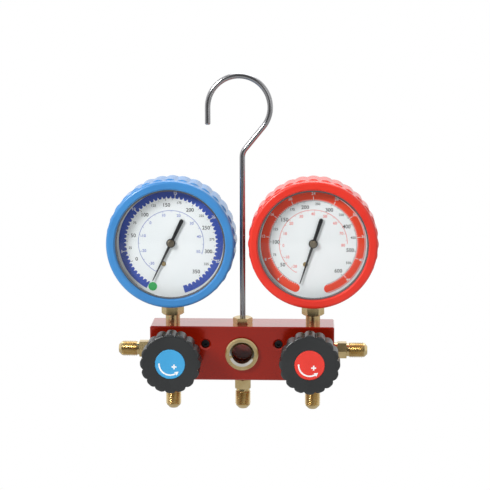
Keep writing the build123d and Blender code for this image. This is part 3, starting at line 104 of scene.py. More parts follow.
def deselect() -> None:
    """Leaves object mode's selection empty."""
    if bpy.context.object and bpy.context.mode != "OBJECT":
        bpy.ops.object.mode_set(mode="OBJECT")
    bpy.ops.object.select_all(action="DESELECT")


def only(piece: bpy.types.Object) -> None:
    """Selects one object alone and makes it the active one.

    Args:
        piece: The object.
    """
    deselect()
    piece.select_set(True)
    bpy.context.view_layer.objects.active = piece


def added(name: str) -> bpy.types.Object:
    """Names the object that an operator has just added.

    Args:
        name: Its name, and its mesh's.

    Returns:
        The object.
    """
    piece = bpy.context.object
    piece.name = piece.data.name = name
    return piece


def close_mesh(piece: bpy.types.Object, gap: float = SAME_POINT) -> None:
    """Merges doubled points and turns every face outwards.

    Args:
        piece: The piece, closed but for its seams.
        gap: How near two points are, in metres, to be merged.
    """
    only(piece)
    bpy.ops.object.mode_set(mode="EDIT")
    bpy.ops.mesh.select_all(action="SELECT")
    bpy.ops.mesh.remove_doubles(threshold=gap)
    bpy.ops.mesh.normals_make_consistent(inside=False)
    bpy.ops.object.mode_set(mode="OBJECT")


def smooth(piece: bpy.types.Object, angle: float = SMOOTH_ANGLE) -> None:
    """Shades the edges smooth that are flatter than an angle in degrees."""
    only(piece)
    bpy.ops.object.shade_smooth_by_angle(angle=math.radians(angle))


def put(piece: bpy.types.Object, place: Matrix) -> bpy.types.Object:
    """Moves a piece and takes its place into its mesh.

    Args:
        piece: The piece, drawn about its own origin.
        place: Where that origin goes, in metres.

    Returns:
        The same piece.
    """
    piece.matrix_world = place @ piece.matrix_world
    only(piece)
    bpy.ops.object.transform_apply(location=True, rotation=True, scale=True)
    return piece


def copy_of(piece: bpy.types.Object, place: Matrix) -> bpy.types.Object:
    """Copies a piece, with a mesh of its own, to another place.

    Args:
        piece: The piece, which stays where it is.
        place: Where the copy goes, in metres.

    Returns:
        The copy.
    """
    twin = piece.copy()
    twin.data = piece.data.copy()
    bpy.context.collection.objects.link(twin)
    return put(twin, place)


def joined(pieces: list[bpy.types.Object], name: str) -> bpy.types.Object:
    """Joins several pieces into one.

    Args:
        pieces: What is joined.
        name: What the whole is called.

    Returns:
        The whole.
    """
    only(pieces[0])
    for piece in pieces:
        piece.select_set(True)
    if len(pieces) > 1:
        bpy.ops.object.join()
    whole = bpy.context.view_layer.objects.active
    whole.name = whole.data.name = name
    return whole


def turned(name: str, rings: list[Ring], segments: int) -> bpy.types.Object:
    """Extrudes and resizes one circle through rings about Z, and closes it.

    Args:
        name: The piece's name.
        rings: Radius and height of each ring, in millimetres, first and last alike.
        segments: Points in each ring.

    Returns:
        The new piece.
    """
    deselect()
    radius, height = rings[0]
    bpy.ops.mesh.primitive_circle_add(
        vertices=segments, radius=radius * MM, fill_type="NOTHING", location=(0, 0, height * MM)
    )
    piece = added(name)
    bpy.ops.object.transform_apply(location=True)
    bpy.ops.object.mode_set(mode="EDIT")
    bpy.ops.mesh.select_all(action="SELECT")
    for (r0, z0), (r1, z1) in zip(rings, rings[1:]):
        bpy.ops.mesh.extrude_region_move(TRANSFORM_OT_translate={"value": (0, 0, (z1 - z0) * MM)})
        bpy.ops.transform.resize(value=(r1 / r0, r1 / r0, 1), center_override=(0, 0, 0))
    bpy.ops.object.mode_set(mode="OBJECT")
    close_mesh(piece)
    return piece


def disc(name: str, radius: float, thick: float, segments: int) -> bpy.types.Object:
    """Turns a thin round disc that stands on Z = 0, in millimetres."""
    rings = [(PINHOLE, 0), (radius, 0), (radius, thick), (PINHOLE, thick), (PINHOLE, 0)]
    return turned(name, rings, segments)


def raised(piece: bpy.types.Object, stretch: tuple[float, float], thick: float) -> bpy.types.Object:
    """Resizes a flat face about the origin and extrudes it up from Z = 0.

    Args:
        piece: The flat piece.
        stretch: What its width and height are multiplied by.
        thick: How far it is raised, in millimetres.

    Returns:
        The same piece, closed.
    """
    bpy.ops.object.mode_set(mode="EDIT")
    bpy.ops.mesh.select_all(action="SELECT")
    bpy.ops.transform.resize(value=(*stretch, 1), center_override=(0, 0, 0))
    bpy.ops.mesh.extrude_region_move(TRANSFORM_OT_translate={"value": (0, 0, thick * MM)})
    bpy.ops.object.mode_set(mode="OBJECT")
    close_mesh(piece)
    return piece


def flat_shape(name: str, corners: int, size: tuple[float, float], thick: float) -> bpy.types.Object:
    """Makes a flat polygon of a width and a height, one corner towards +Y.

    Args:
        name: The piece's name.
        corners: How many corners the polygon has.
        size: Width and height in millimetres.
        thick: Thickness in millimetres.

    Returns:
        The new piece.
    """
    deselect()
    bpy.ops.mesh.primitive_circle_add(vertices=corners, radius=MM, fill_type="NGON")
    piece = added(name)
    reaches = [[point.co[n] for point in piece.data.vertices] for n in (0, 1)]
    wide, tall = (length * MM / (max(reach) - min(reach)) for length, reach in zip(size, reaches))
    return raised(piece, (wide, tall), thick)


def bar(name: str, size: tuple[float, float], thick: float) -> bpy.types.Object:
    """Makes a flat rectangle about the origin.

    Args:
        name: The piece's name.
        size: Width and height in millimetres.
        thick: Thickness in millimetres.

    Returns:
        The new piece.
    """
    deselect()
    bpy.ops.mesh.primitive_plane_add(size=MM)
    return raised(added(name), size, thick)


def arc_band(
    name: str, inner: float, outer: float, start: float, sweep: float, thick: float
) -> bpy.types.Object:
    """Spins a thin upright section into a flat curved band on Z = 0.

    Args:
        name: The piece's name.
        inner: Inner radius in millimetres.
        outer: Outer radius in millimetres.
        start: Degrees clockwise from the top at which it begins.
        sweep: Degrees clockwise that it runs, less than a whole turn.
        thick: Thickness in millimetres.

    Returns:
        The new piece.
    """
    deselect()
    bpy.ops.mesh.primitive_plane_add(size=1, rotation=(math.pi / 2, 0, 0))
    piece = added(name)
    piece.scale = ((outer - inner) * MM, thick * MM, 1)
    piece.location = ((outer + inner) / 2 * MM, 0, thick / 2 * MM)
    bpy.ops.object.transform_apply(location=True, rotation=True, scale=True)
    bpy.ops.object.mode_set(mode="EDIT")
    bpy.ops.mesh.select_all(action="SELECT")
    steps = max(FEWEST_STEPS, round(sweep / BAND_STEP))
    bpy.ops.mesh.spin(steps=steps, angle=math.radians(sweep), center=(0, 0, 0), axis=(0, 0, 1))
    bpy.ops.object.mode_set(mode="OBJECT")
    close_mesh(piece)
    return put(piece, Matrix.Rotation(math.radians(90 - start), 4, "Z"))


def lettered(text: str, height: float, thick: float) -> bpy.types.Object:
    """Makes a number as a thin raised mesh, its middle at the origin.

    Args:
        text: The digits.
        height: Their height in millimetres.
        thick: Their thickness in millimetres.

    Returns:
        The new piece.
    """
    deselect()
    bpy.ops.object.text_add()
    piece = bpy.context.object
    piece.data.body = text
    piece.data.size = height * MM / DIGIT_SHARE
    piece.data.align_x, piece.data.align_y = "CENTER", "CENTER"
    piece.data.extrude = thick * MM / 2
    piece.data.offset = DIGIT_WEIGHT * height * MM
    piece.data.resolution_u = DIGIT_CURVE_STEPS
    piece.location = (0, 0, thick * MM / 2)
    only(piece)
    bpy.ops.object.convert(target="MESH")
    bpy.ops.object.transform_apply(location=True)
    return bpy.context.object


def around(radius: float, angle: float) -> Matrix:
    """A place on a dial: a radius in millimetres, clockwise from the top, head outwards."""
    return Matrix.Rotation(-math.radians(angle), 4, "Z") @ Matrix.Translation((0, radius * MM, 0))


def upright(radius: float, angle: float) -> Matrix:
    """A place on a dial that keeps what stands there upright."""
    turn = math.radians(angle)
    return Matrix.Translation((radius * MM * math.sin(turn), radius * MM * math.cos(turn), 0))


def facing_front(x: float, y: float, z: float) -> Matrix:
    """A place whose +Z points at the user and +Y up, in millimetres from the block's top."""
    where = Matrix.Translation((x * MM, y * MM, (z - ORIGIN_RISE) * MM))
    return where @ Matrix.Rotation(math.pi / 2, 4, "X")


# ---- finishes --------------------------------------------------------------------------


WHITE_LIGHT = (1.0, 1.0, 1.0, 1.0)
GRAIN_DETAIL, PATCH_DETAIL = 3.0, 2.0  # how many finer layers each texture has
GRAIN_BOUNDS = (0.3, 0.7)  # the share of the fine texture that the roughness follows
TONE_BOUNDS = (0.3, 0.6)  # where on the slow texture the shade ends and the full colour begins
BUMP_STRENGTH = 0.5


def add_node(
    tree: bpy.types.NodeTree,
    kind: str,
    links: dict[str | int, bpy.types.NodeSocket] | None = None,
    **settings: object,
) -> bpy.types.Node:
    """Adds one node, with its settings, its constant inputs and its links.

    Args:
        tree: The node tree.
        kind: The node's type.
        links: Sockets that feed its inputs, by input name, or by place where names repeat.
        settings: Properties of the node, or its inputs where a name has a matching socket.

    Returns:
        The new node.
    """
    node = tree.nodes.new(kind)
    for name, value in settings.items():
        if hasattr(node, name):
            setattr(node, name, value)
        else:
            node.inputs[name.replace("_", " ")].default_value = value
    for name, source in (links or {}).items():
        tree.links.new(source, node.inputs[name])
    return node


@dataclass(frozen=True)
class Finish:
    """One surface finish: what it is made of and how it was made."""

    name: str
    colour: str
    shade: str  # the darker tone of its uneven parts
    roughness: float
    spread: float = 0.06  # how far the roughness wanders
    metallic: float = 0.0
    ior: float = 1.5
    coat: float = 0.0
    coat_ior: float = 1.5
    coat_roughness: float = 0.06
    grain_mm: float = 0.4  # width of the grain
    depth_mm: float = 0.004  # height of the grain
    grain: Grain = Grain.EVEN
    patch_mm: float = 25.0  # width of the slow change of tone

    def make(self) -> bpy.types.Material:
        """Builds the material.

        Returns:
            The material, with its colour, roughness and bump from nodes.
        """
        material = bpy.data.materials.new(self.name)
        material.use_nodes = True
        material.diffuse_color = linear(self.colour)
        tree = material.node_tree
        shader = tree.nodes["Principled BSDF"]
        for socket, value in (
            ("Metallic", self.metallic),
            ("Coat Weight", self.coat),
            ("Coat Roughness", self.coat_roughness),
            ("Coat IOR", self.coat_ior),
        ):
            shader.inputs[socket].default_value = value
        if not self.metallic:
            shader.inputs["IOR"].default_value = self.ior
        place = add_node(tree, "ShaderNodeTexCoord").outputs["Object"]
        mapped = add_node(tree, "ShaderNodeMapping", {"Vector": place}, Scale=self.grain.value)
        fine = add_node(
            tree, "ShaderNodeTexNoise", {"Vector": mapped.outputs["Vector"]},
            Scale=1 / (self.grain_mm * MM), Detail=GRAIN_DETAIL,
        ).outputs["Fac"]
        slow = add_node(
            tree, "ShaderNodeTexNoise", {"Vector": place}, Scale=1 / (self.patch_mm * MM),
            Detail=PATCH_DETAIL,
        ).outputs["Fac"]
        tone = add_node(tree, "ShaderNodeValToRGB", {"Fac": slow})
        for stop, at, colour in zip(tone.color_ramp.elements, TONE_BOUNDS, (self.shade, self.colour)):
            stop.position, stop.color = at, linear(colour)
        tree.links.new(tone.outputs["Color"], shader.inputs["Base Color"])
        rough = add_node(
            tree, "ShaderNodeMapRange", {"Value": fine}, From_Min=GRAIN_BOUNDS[0],
            From_Max=GRAIN_BOUNDS[1], To_Min=max(0.0, self.roughness - self.spread),
            To_Max=min(1.0, self.roughness + self.spread),
        )
        tree.links.new(rough.outputs["Result"], shader.inputs["Roughness"])
        bump = add_node(
            tree, "ShaderNodeBump", {"Height": fine}, Strength=BUMP_STRENGTH,
            Distance=self.depth_mm * MM,
        )
        tree.links.new(bump.outputs["Normal"], shader.inputs["Normal"])
        return material


@dataclass(frozen=True)
class ClearFinish:
    """A polished see-through moulding or glass that lets light through to what is behind."""

    name: str
    tint: str
    ior: float
    roughness: float = 0.01
    smear: float = 0.03  # how much rougher it is where it was wiped
    smear_mm: float = 30.0  # width of the faint smears

    def make(self) -> bpy.types.Material:
        """Builds the material.

        Returns:
            The material: a clear shader, plain air to the rays that carry light to what is behind.
        """
        material = bpy.data.materials.new(self.name)
        material.use_nodes = True
        tree = material.node_tree
        shader, output = tree.nodes["Principled BSDF"], tree.nodes["Material Output"]
        shader.inputs["Base Color"].default_value = linear(self.tint)
        shader.inputs["IOR"].default_value = self.ior
        shader.inputs["Transmission Weight"].default_value = 1.0
        place = add_node(tree, "ShaderNodeTexCoord").outputs["Object"]
        smears = add_node(
            tree, "ShaderNodeTexNoise", {"Vector": place}, Scale=1 / (self.smear_mm * MM),
            Detail=PATCH_DETAIL,
        )
        rough = add_node(
            tree, "ShaderNodeMapRange", {"Value": smears.outputs["Fac"]}, To_Min=self.roughness,
            To_Max=self.roughness + self.smear,
        )
        tree.links.new(rough.outputs["Result"], shader.inputs["Roughness"])
        air = add_node(tree, "ShaderNodeBsdfTransparent")
        rays = add_node(tree, "ShaderNodeLightPath").outputs
        light = add_node(
            tree, "ShaderNodeMath", {0: rays["Is Shadow Ray"], 1: rays["Is Diffuse Ray"]},
            operation="MAXIMUM",
        )
        mix = add_node(
            tree, "ShaderNodeMixShader",
            {0: light.outputs["Value"], 1: shader.outputs["BSDF"], 2: air.outputs["BSDF"]},
        )
        tree.links.new(mix.outputs["Shader"], output.inputs["Surface"])
        return material


# Aluminium, drawn, anodised and dyed red: a dulled metal's reflections under a clear hard skin.
ANODISED = Finish(
    "red_anodised_aluminium", "#a61e06", "#9a1a05", 0.22, 0.03, metallic=0.5, coat=1.0, coat_ior=1.3,
    grain=Grain.DRAWN_ALONG_X, grain_mm=0.5, depth_mm=0.0004, patch_mm=60.0,
)
# Brass, turned and left bright: warm, with tool rings that are coarser than real ones, to show.
BRASS = Finish(
    "turned_brass", "#dac493", "#cab27e", 0.25, metallic=1.0, grain=Grain.TURNED_ABOUT_Z, grain_mm=0.8,
    depth_mm=0.003, patch_mm=8.0,
)
# Steel plated with chromium over a drawn surface: bright but soft.
CHROME = Finish("chromium_plate", "#aaaaac", "#9e9ea1", 0.2, 0.02, metallic=1.0, depth_mm=0.0005)
# A silvery, slightly warm nickel finish, used only as a painted reflection: the glass edge's bright ring,
# laid on the sight glass bevel.
NICKEL_PAINTED_REFLECTION = Finish("nickel_painted_bevel_reflection", "#d6d3cb", "#c9c5bb", 0.12, 0.02, metallic=1.0, depth_mm=0.0005)
# Mild steel, zinc plated: pale and a little dull.
STEEL = Finish("zinc_plated_steel", "#b4b6b8", "#9ea1a4", 0.32, metallic=1.0, grain_mm=0.3)
# Steel, blackened by hot oxide and oiled, with a soft shine; also made this dark as painted shade for the
# shadow in the screws' recesses.
BLACK_OXIDE_AND_RECESS_SHADE = Finish("black_oxide_steel_and_painted_recess_shade", "#444447", "#38383b", 0.35, metallic=1.0, grain_mm=0.3)
# Brass, tarnished by handling: grey-brown.
TARNISHED_BRASS = Finish("tarnished_brass", "#857c6a", "#766d5c", 0.35, metallic=0.8, grain_mm=0.3)
# Phosphor bronze, drawn and flattened: redder than brass.
BRONZE = Finish("phosphor_bronze", "#c08a55", "#a87445", 0.28, metallic=1.0)
# Steel with stoved black enamel: satin.
CASE_PAINT = Finish("black_stoved_enamel", "#26272a", "#1f2023", 0.38, ior=1.5, grain_mm=0.5)
# Glass-filled nylon, moulded: near black, with a spark-eroded grain.
NYLON = Finish(
    "black_moulded_nylon", "#2b2d2e", "#252728", 0.36, ior=1.53, grain_mm=0.45, depth_mm=0.012
)
# PVC, moulded soft: a satin skin over a faint grain.
BLUE_BOOT = Finish(
    "blue_moulded_pvc", "#3b8acc", "#3582c4", 0.45, ior=1.45, coat=0.7, coat_ior=1.4,
    coat_roughness=0.2, grain_mm=0.6, depth_mm=0.010,
)
RED_BOOT = replace(BLUE_BOOT, name="red_moulded_pvc", colour="#ea2c16", shade="#e22612")
# Polystyrene, printed and lacquered: bright and glossy.
BLUE_BADGE = Finish("blue_printed_disc", "#3ba4dc", "#359ad0", 0.2, ior=1.55, coat=0.3, depth_mm=0.001)
RED_BADGE = replace(BLUE_BADGE, name="red_printed_disc", colour="#ea3426", shade="#de2d20")
# Aluminium sheet with white enamel: the dial's ground.
DIAL_WHITE = Finish("white_dial_enamel", "#eef3f4", "#eaf0f1", 0.4, ior=1.5, grain_mm=0.3, depth_mm=0.001)
# Aluminium sheet with black enamel: the pointer.
POINTER_BLACK = Finish("black_pointer_enamel", "#1c1e20", "#17181a", 0.4, grain_mm=0.3, depth_mm=0.002)
# Nitrile rubber: matt black.
NITRILE = Finish("black_nitrile_rubber", "#1d1d1e", "#171718", 0.7, grain_mm=0.3, depth_mm=0.006)
# PTFE, cut from rod: white and waxy.
PTFE = Finish("white_ptfe", "#e9e8e2", "#deddd6", 0.5, ior=1.38, grain_mm=0.4)
# Screen inks on the dials and discs: flat and satin; the thin lines are printed in duller ones.
BLUE_INK = Finish("blue_screen_ink", "#3654b6", "#2f4ca8", 0.42, grain_mm=0.3, depth_mm=0.001)
RED_INK = replace(BLUE_INK, name="red_screen_ink", colour="#f8461e", shade="#ee3e18")
GREEN_INK = replace(BLUE_INK, name="green_screen_ink", colour="#35b45f", shade="#2faa57")
WHITE_INK = replace(BLUE_INK, name="white_screen_ink", colour="#f6f8f8", shade="#eff2f2")
BLACK_INK = Finish("black_screen_ink", "#1c2022", "#16191b", 0.45, grain_mm=0.3, depth_mm=0.001)
PALE_BLUE_INK = replace(BLACK_INK, name="pale_blue_screen_ink", colour="#6c7cc4", shade="#6272ba")
PALE_RED_INK = replace(BLACK_INK, name="pale_red_screen_ink", colour="#e8766e", shade="#e06a62")
# Polycarbonate, moulded clear, and pressed glass: both bend light less here than the real ones do, so
# that what lies behind keeps its place.
CLEAR_LENS = ClearFinish("clear_polycarbonate", "#ffffff", 1.35)
SIGHT_GLASS = ClearFinish("pressed_clear_glass", "#f8fdfc", 1.3)

SLOT_FINISHES = {
    "anodised_block": ANODISED,
    "brass": BRASS,
    "chrome": CHROME,
    "steel": STEEL,
    "bronze": BRONZE,
    "case_steel": CASE_PAINT,
    "knob_plastic": NYLON,
    "low_badge": BLUE_BADGE,
    "high_badge": RED_BADGE,
    "low_boot_rubber": BLUE_BOOT,
    "high_boot_rubber": RED_BOOT,
    "clear_lens": CLEAR_LENS,
    "sight_lens": SIGHT_GLASS,
    "dial_paint": DIAL_WHITE,
    "pointer_paint": POINTER_BLACK,
    "seal_rubber": NITRILE,
    "sealing_plastic": PTFE,
}

# Solids whose finish differs from that of the rest of their slot; the blanking screws' dark finish is
# partly painted recess shade.
NODE_FINISHES = {"blanking_screws": BLACK_OXIDE_AND_RECESS_SHADE}


@dataclass
class FinishShelf:
    """Every finish, made once and handed out by its own name."""

    made: dict[str, bpy.types.Material] = field(default_factory=dict)

    def get(self, finish: Finish | ClearFinish) -> bpy.types.Material:
        """Finds the material of a finish, and makes it at its first use.

        Args:
            finish: The finish.

        Returns:
            Its material.
        """
        if finish.name not in self.made:
            self.made[finish.name] = finish.make()
        return self.made[finish.name]

    def dress(self, piece: bpy.types.Object, finish: Finish | ClearFinish) -> None:
        """Gives a new piece one finish.

        Args:
            piece: The piece.
            finish: Its finish.
        """
        piece.data.materials.clear()
        piece.data.materials.append(self.get(finish))

    def dress_nodes(self) -> None:
        """Gives every solid of the set the finish of its slot."""
        slots = {part["node"]: part["material_slot"] for part in frame["record"]["subparts"]}
        for name, node in frame["nodes"].items():
            finish = NODE_FINISHES.get(name, SLOT_FINISHES[slots[name]])
            if not node.material_slots:
                node.data.materials.append(None)
            for place in node.material_slots:
                place.material = self.get(finish)
            log.info("%s dressed as %s", name, finish.name)


# ---- flare fittings ----------------------------------------------------------------------


@dataclass
class FlareFitting:
    """A quarter-inch male flare fitting with a real thread, nose up, its pipe below Z = 0.

    Sizes are in millimetres.
    """

    node: str
    place: Matrix
    blind: bool = False
    thread_diameter: float = 11.112
    thread_length: float = 10.4
    pitch: float = 1.27
    thread_depth: float = 0.72
    flank: float = 1.35  # how much steeper the flanks are than a plain wave
    crest: float = 0.15  # share of the depth that the flat crest takes off
    run_in: float = 0.8  # length over which the thread deepens
    run_out: float = 0.6  # length over which it fades towards the nose
    faded: float = 0.6  # share of the lead that is left where the thread has faded
    rings_per_turn: int = 8
    margin: float = 0.01  # keeps the rings at both ends of the thread where they are
    reach: float = 0.3  # how near to the thread's surface a point is to be part of it
    groove_length: float = 1.8
    groove_diameter: float = 9.2
    groove_lip: tuple[float, float] = (0.1, 0.35)  # rise and length of the groove's last slope
    nose_diameter: float = 5.8
    nose_edge: tuple[float, float] = (0.15, 0.1)  # width and height of its bevel
    bore_diameter: float = 4.8
    bore_edge: float = 0.1
    hex_flats: float = 11.1
    hex_length: float = 6.5
    hex_break: float = 0.5  # how much the turning takes off each corner
    hex_skin: float = 0.01  # how far the turning tool's path stands off the ends
    hex_wall: float = 0.6  # how far it reaches inside the groove's diameter
    weld: float = 0.005  # points closer than this after the cut are one
    collar_diameter: float = 10.6
    collar_length: float = 2.5
    collar_overlap: float = 0.3  # how far the collar reaches into the hexagon
    pipe_diameter: float = 9.8
    pipe_length: float = 8.0
    blind_depth: float = 5.0
    drill_point: float = 0.5  # height of the blind bore's cone over its radius
    lead: float = 0.6  # width of the bevels on pipe and thread
    segments: int = 64
    hex_segments: int = 96

    @property
    def thread_span(self) -> tuple[float, float]:
        """The heights at which the thread starts and ends."""
        start = self.collar_length + self.hex_length + self.groove_length
        return start, start + self.thread_length

    def rings(self) -> list[Ring]:
        """The closed outline, from the bore's foot out and up to the nose and back.

        Returns:
            Radius and height of each ring.
        """
        bore, nose = self.bore_diameter / 2, self.nose_diameter / 2
        pipe, collar = self.pipe_diameter / 2, self.collar_diameter / 2
        groove, thread = self.groove_diameter / 2, self.thread_diameter / 2
        start, end = self.thread_span
        top = end + thread - nose  # the flare's cone stands at 45 degrees
        collar_top = self.collar_length + self.collar_overlap
        lip_rise, lip_length = self.groove_lip
        nose_wide, nose_low = self.nose_edge
        count = round(self.thread_length / self.pitch * self.rings_per_turn)
        foot = [(PINHOLE if self.blind else bore, -self.pipe_length)]
        outside = [
            (pipe - self.lead, -self.pipe_length),
            (pipe, self.lead - self.pipe_length),
            (pipe, 0.0),
            (collar, 0.0),
            (collar, collar_top),
            (groove, collar_top),
            (groove, start - lip_length),
            (groove + lip_rise, start),
            (thread - self.lead, start),
        ]
        outside += [(thread, start + self.thread_length * n / count) for n in range(1, count)]
        outside += [(thread - self.lead, end), (thread - self.lead, end + self.lead)]
        outside += [(nose + nose_wide, top - nose_low), (nose, top)]
        outside += [(bore + self.bore_edge, top), (bore, top - self.bore_edge)]
        inside = []
        if self.blind:
            bottom = top - self.blind_depth
            inside = [(bore, bottom), (PINHOLE, bottom - bore * self.drill_point)]
        return foot + outside + inside + foot

    def cut_thread(self, piece: bpy.types.Object) -> None:
        """Sinks a right-handed helix into the threaded length.

        Args:
            piece: The fitting, its pipe below Z = 0.
        """
        start, end = self.thread_span
        major = self.thread_diameter / 2
        for point in piece.data.vertices:
            x, y, z = (c / MM for c in point.co)
            out = math.hypot(x, y)
            if not start + self.margin < z < end - self.margin or out < major - self.reach:
                continue
            turn = (z / self.pitch + math.atan2(y, x) / (2 * math.pi)) % 1
            slope = min(1.0, max(0.0, abs(turn - 0.5) * 2 * self.flank - self.crest))
            fade = min(1.0, (z - start) / self.run_in, (end - z) / self.run_out)
            depth = self.thread_depth * slope * fade + self.lead * (1 - fade) * self.faded
            share = (major - depth) / out
            point.co.x, point.co.y = x * share * MM, y * share * MM

    def hexagon(self) -> bpy.types.Object:
        """The spanner flats, their corners turned off at both ends.

        Returns:
            The hexagonal collar.
        """
        corner = self.hex_flats / 2 / math.cos(math.pi / 6)
        low, high = self.collar_length, self.collar_length + self.hex_length
        flats = flat_shape("flats", 6, (self.hex_flats, 2 * corner), self.hex_length)
        put(flats, Matrix.Translation((0, 0, low * MM)))
        drop = self.hex_break * math.tan(math.pi / 6)
        inside, broken = self.groove_diameter / 2 - self.hex_wall, corner - self.hex_break
        outside, foot, head = corner + 2 * self.hex_skin, low - self.hex_skin, high + self.hex_skin
        rings = [(inside, foot), (broken, foot), (outside, low + drop)]
        rings += [(outside, high - drop), (broken, head), (inside, head)]
        envelope = turned("envelope", rings + [rings[0]], self.hex_segments)
        cut = flats.modifiers.new("corners", "BOOLEAN")
        cut.operation, cut.solver, cut.object = "INTERSECT", "EXACT", envelope
        only(flats)
        bpy.ops.object.modifier_apply(modifier=cut.name)
        bpy.data.objects.remove(envelope)
        close_mesh(flats, self.weld * MM)
        return flats

    def build(self, shelf: FinishShelf) -> None:
        """Makes the fitting, puts it in its port and hides the plain one.

        Args:
            shelf: Where the finishes come from.
        """
        body = turned(self.node + "_threaded", self.rings(), self.segments)
        self.cut_thread(body)
        fitting = joined([body, self.hexagon()], self.node + "_threaded")
        shelf.dress(fitting, BRASS)
        smooth(fitting)
        put(fitting, self.place)
        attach(fitting, "manifold")
        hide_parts(self.node)
        log.info("%s threaded, %d faces", self.node, len(fitting.data.polygons))


# ---- dials -------------------------------------------------------------------------------


@dataclass(frozen=True)
class Scale:
    """Numbers evenly spaced round a dial; an empty one leaves its place bare."""

    numbers: tuple[str, ...]
    first: float  # where the first stands, in degrees clockwise from the top
    step: float  # degrees from one number to the next

    def divided(self, parts: int = 1) -> list[float]:
        """Where the divisions stand, ends included, at so many from number to number."""
        return [self.first + n * self.step / parts for n in range(parts * (len(self.numbers) - 1) + 1)]


@dataclass(frozen=True)
class MarkRow:
    """The marks of one row round a dial, in millimetres."""

    offset: float  # from the edge that the row follows out to the marks' middle
    width: float
    length: float
    corners: int = 4  # three for a tooth that points outwards


@dataclass(frozen=True)
class DigitRow:
    """The numbers of one row round a dial, in millimetres."""

    offset: float  # from the edge that the row follows out to the numbers' middle
    height: float


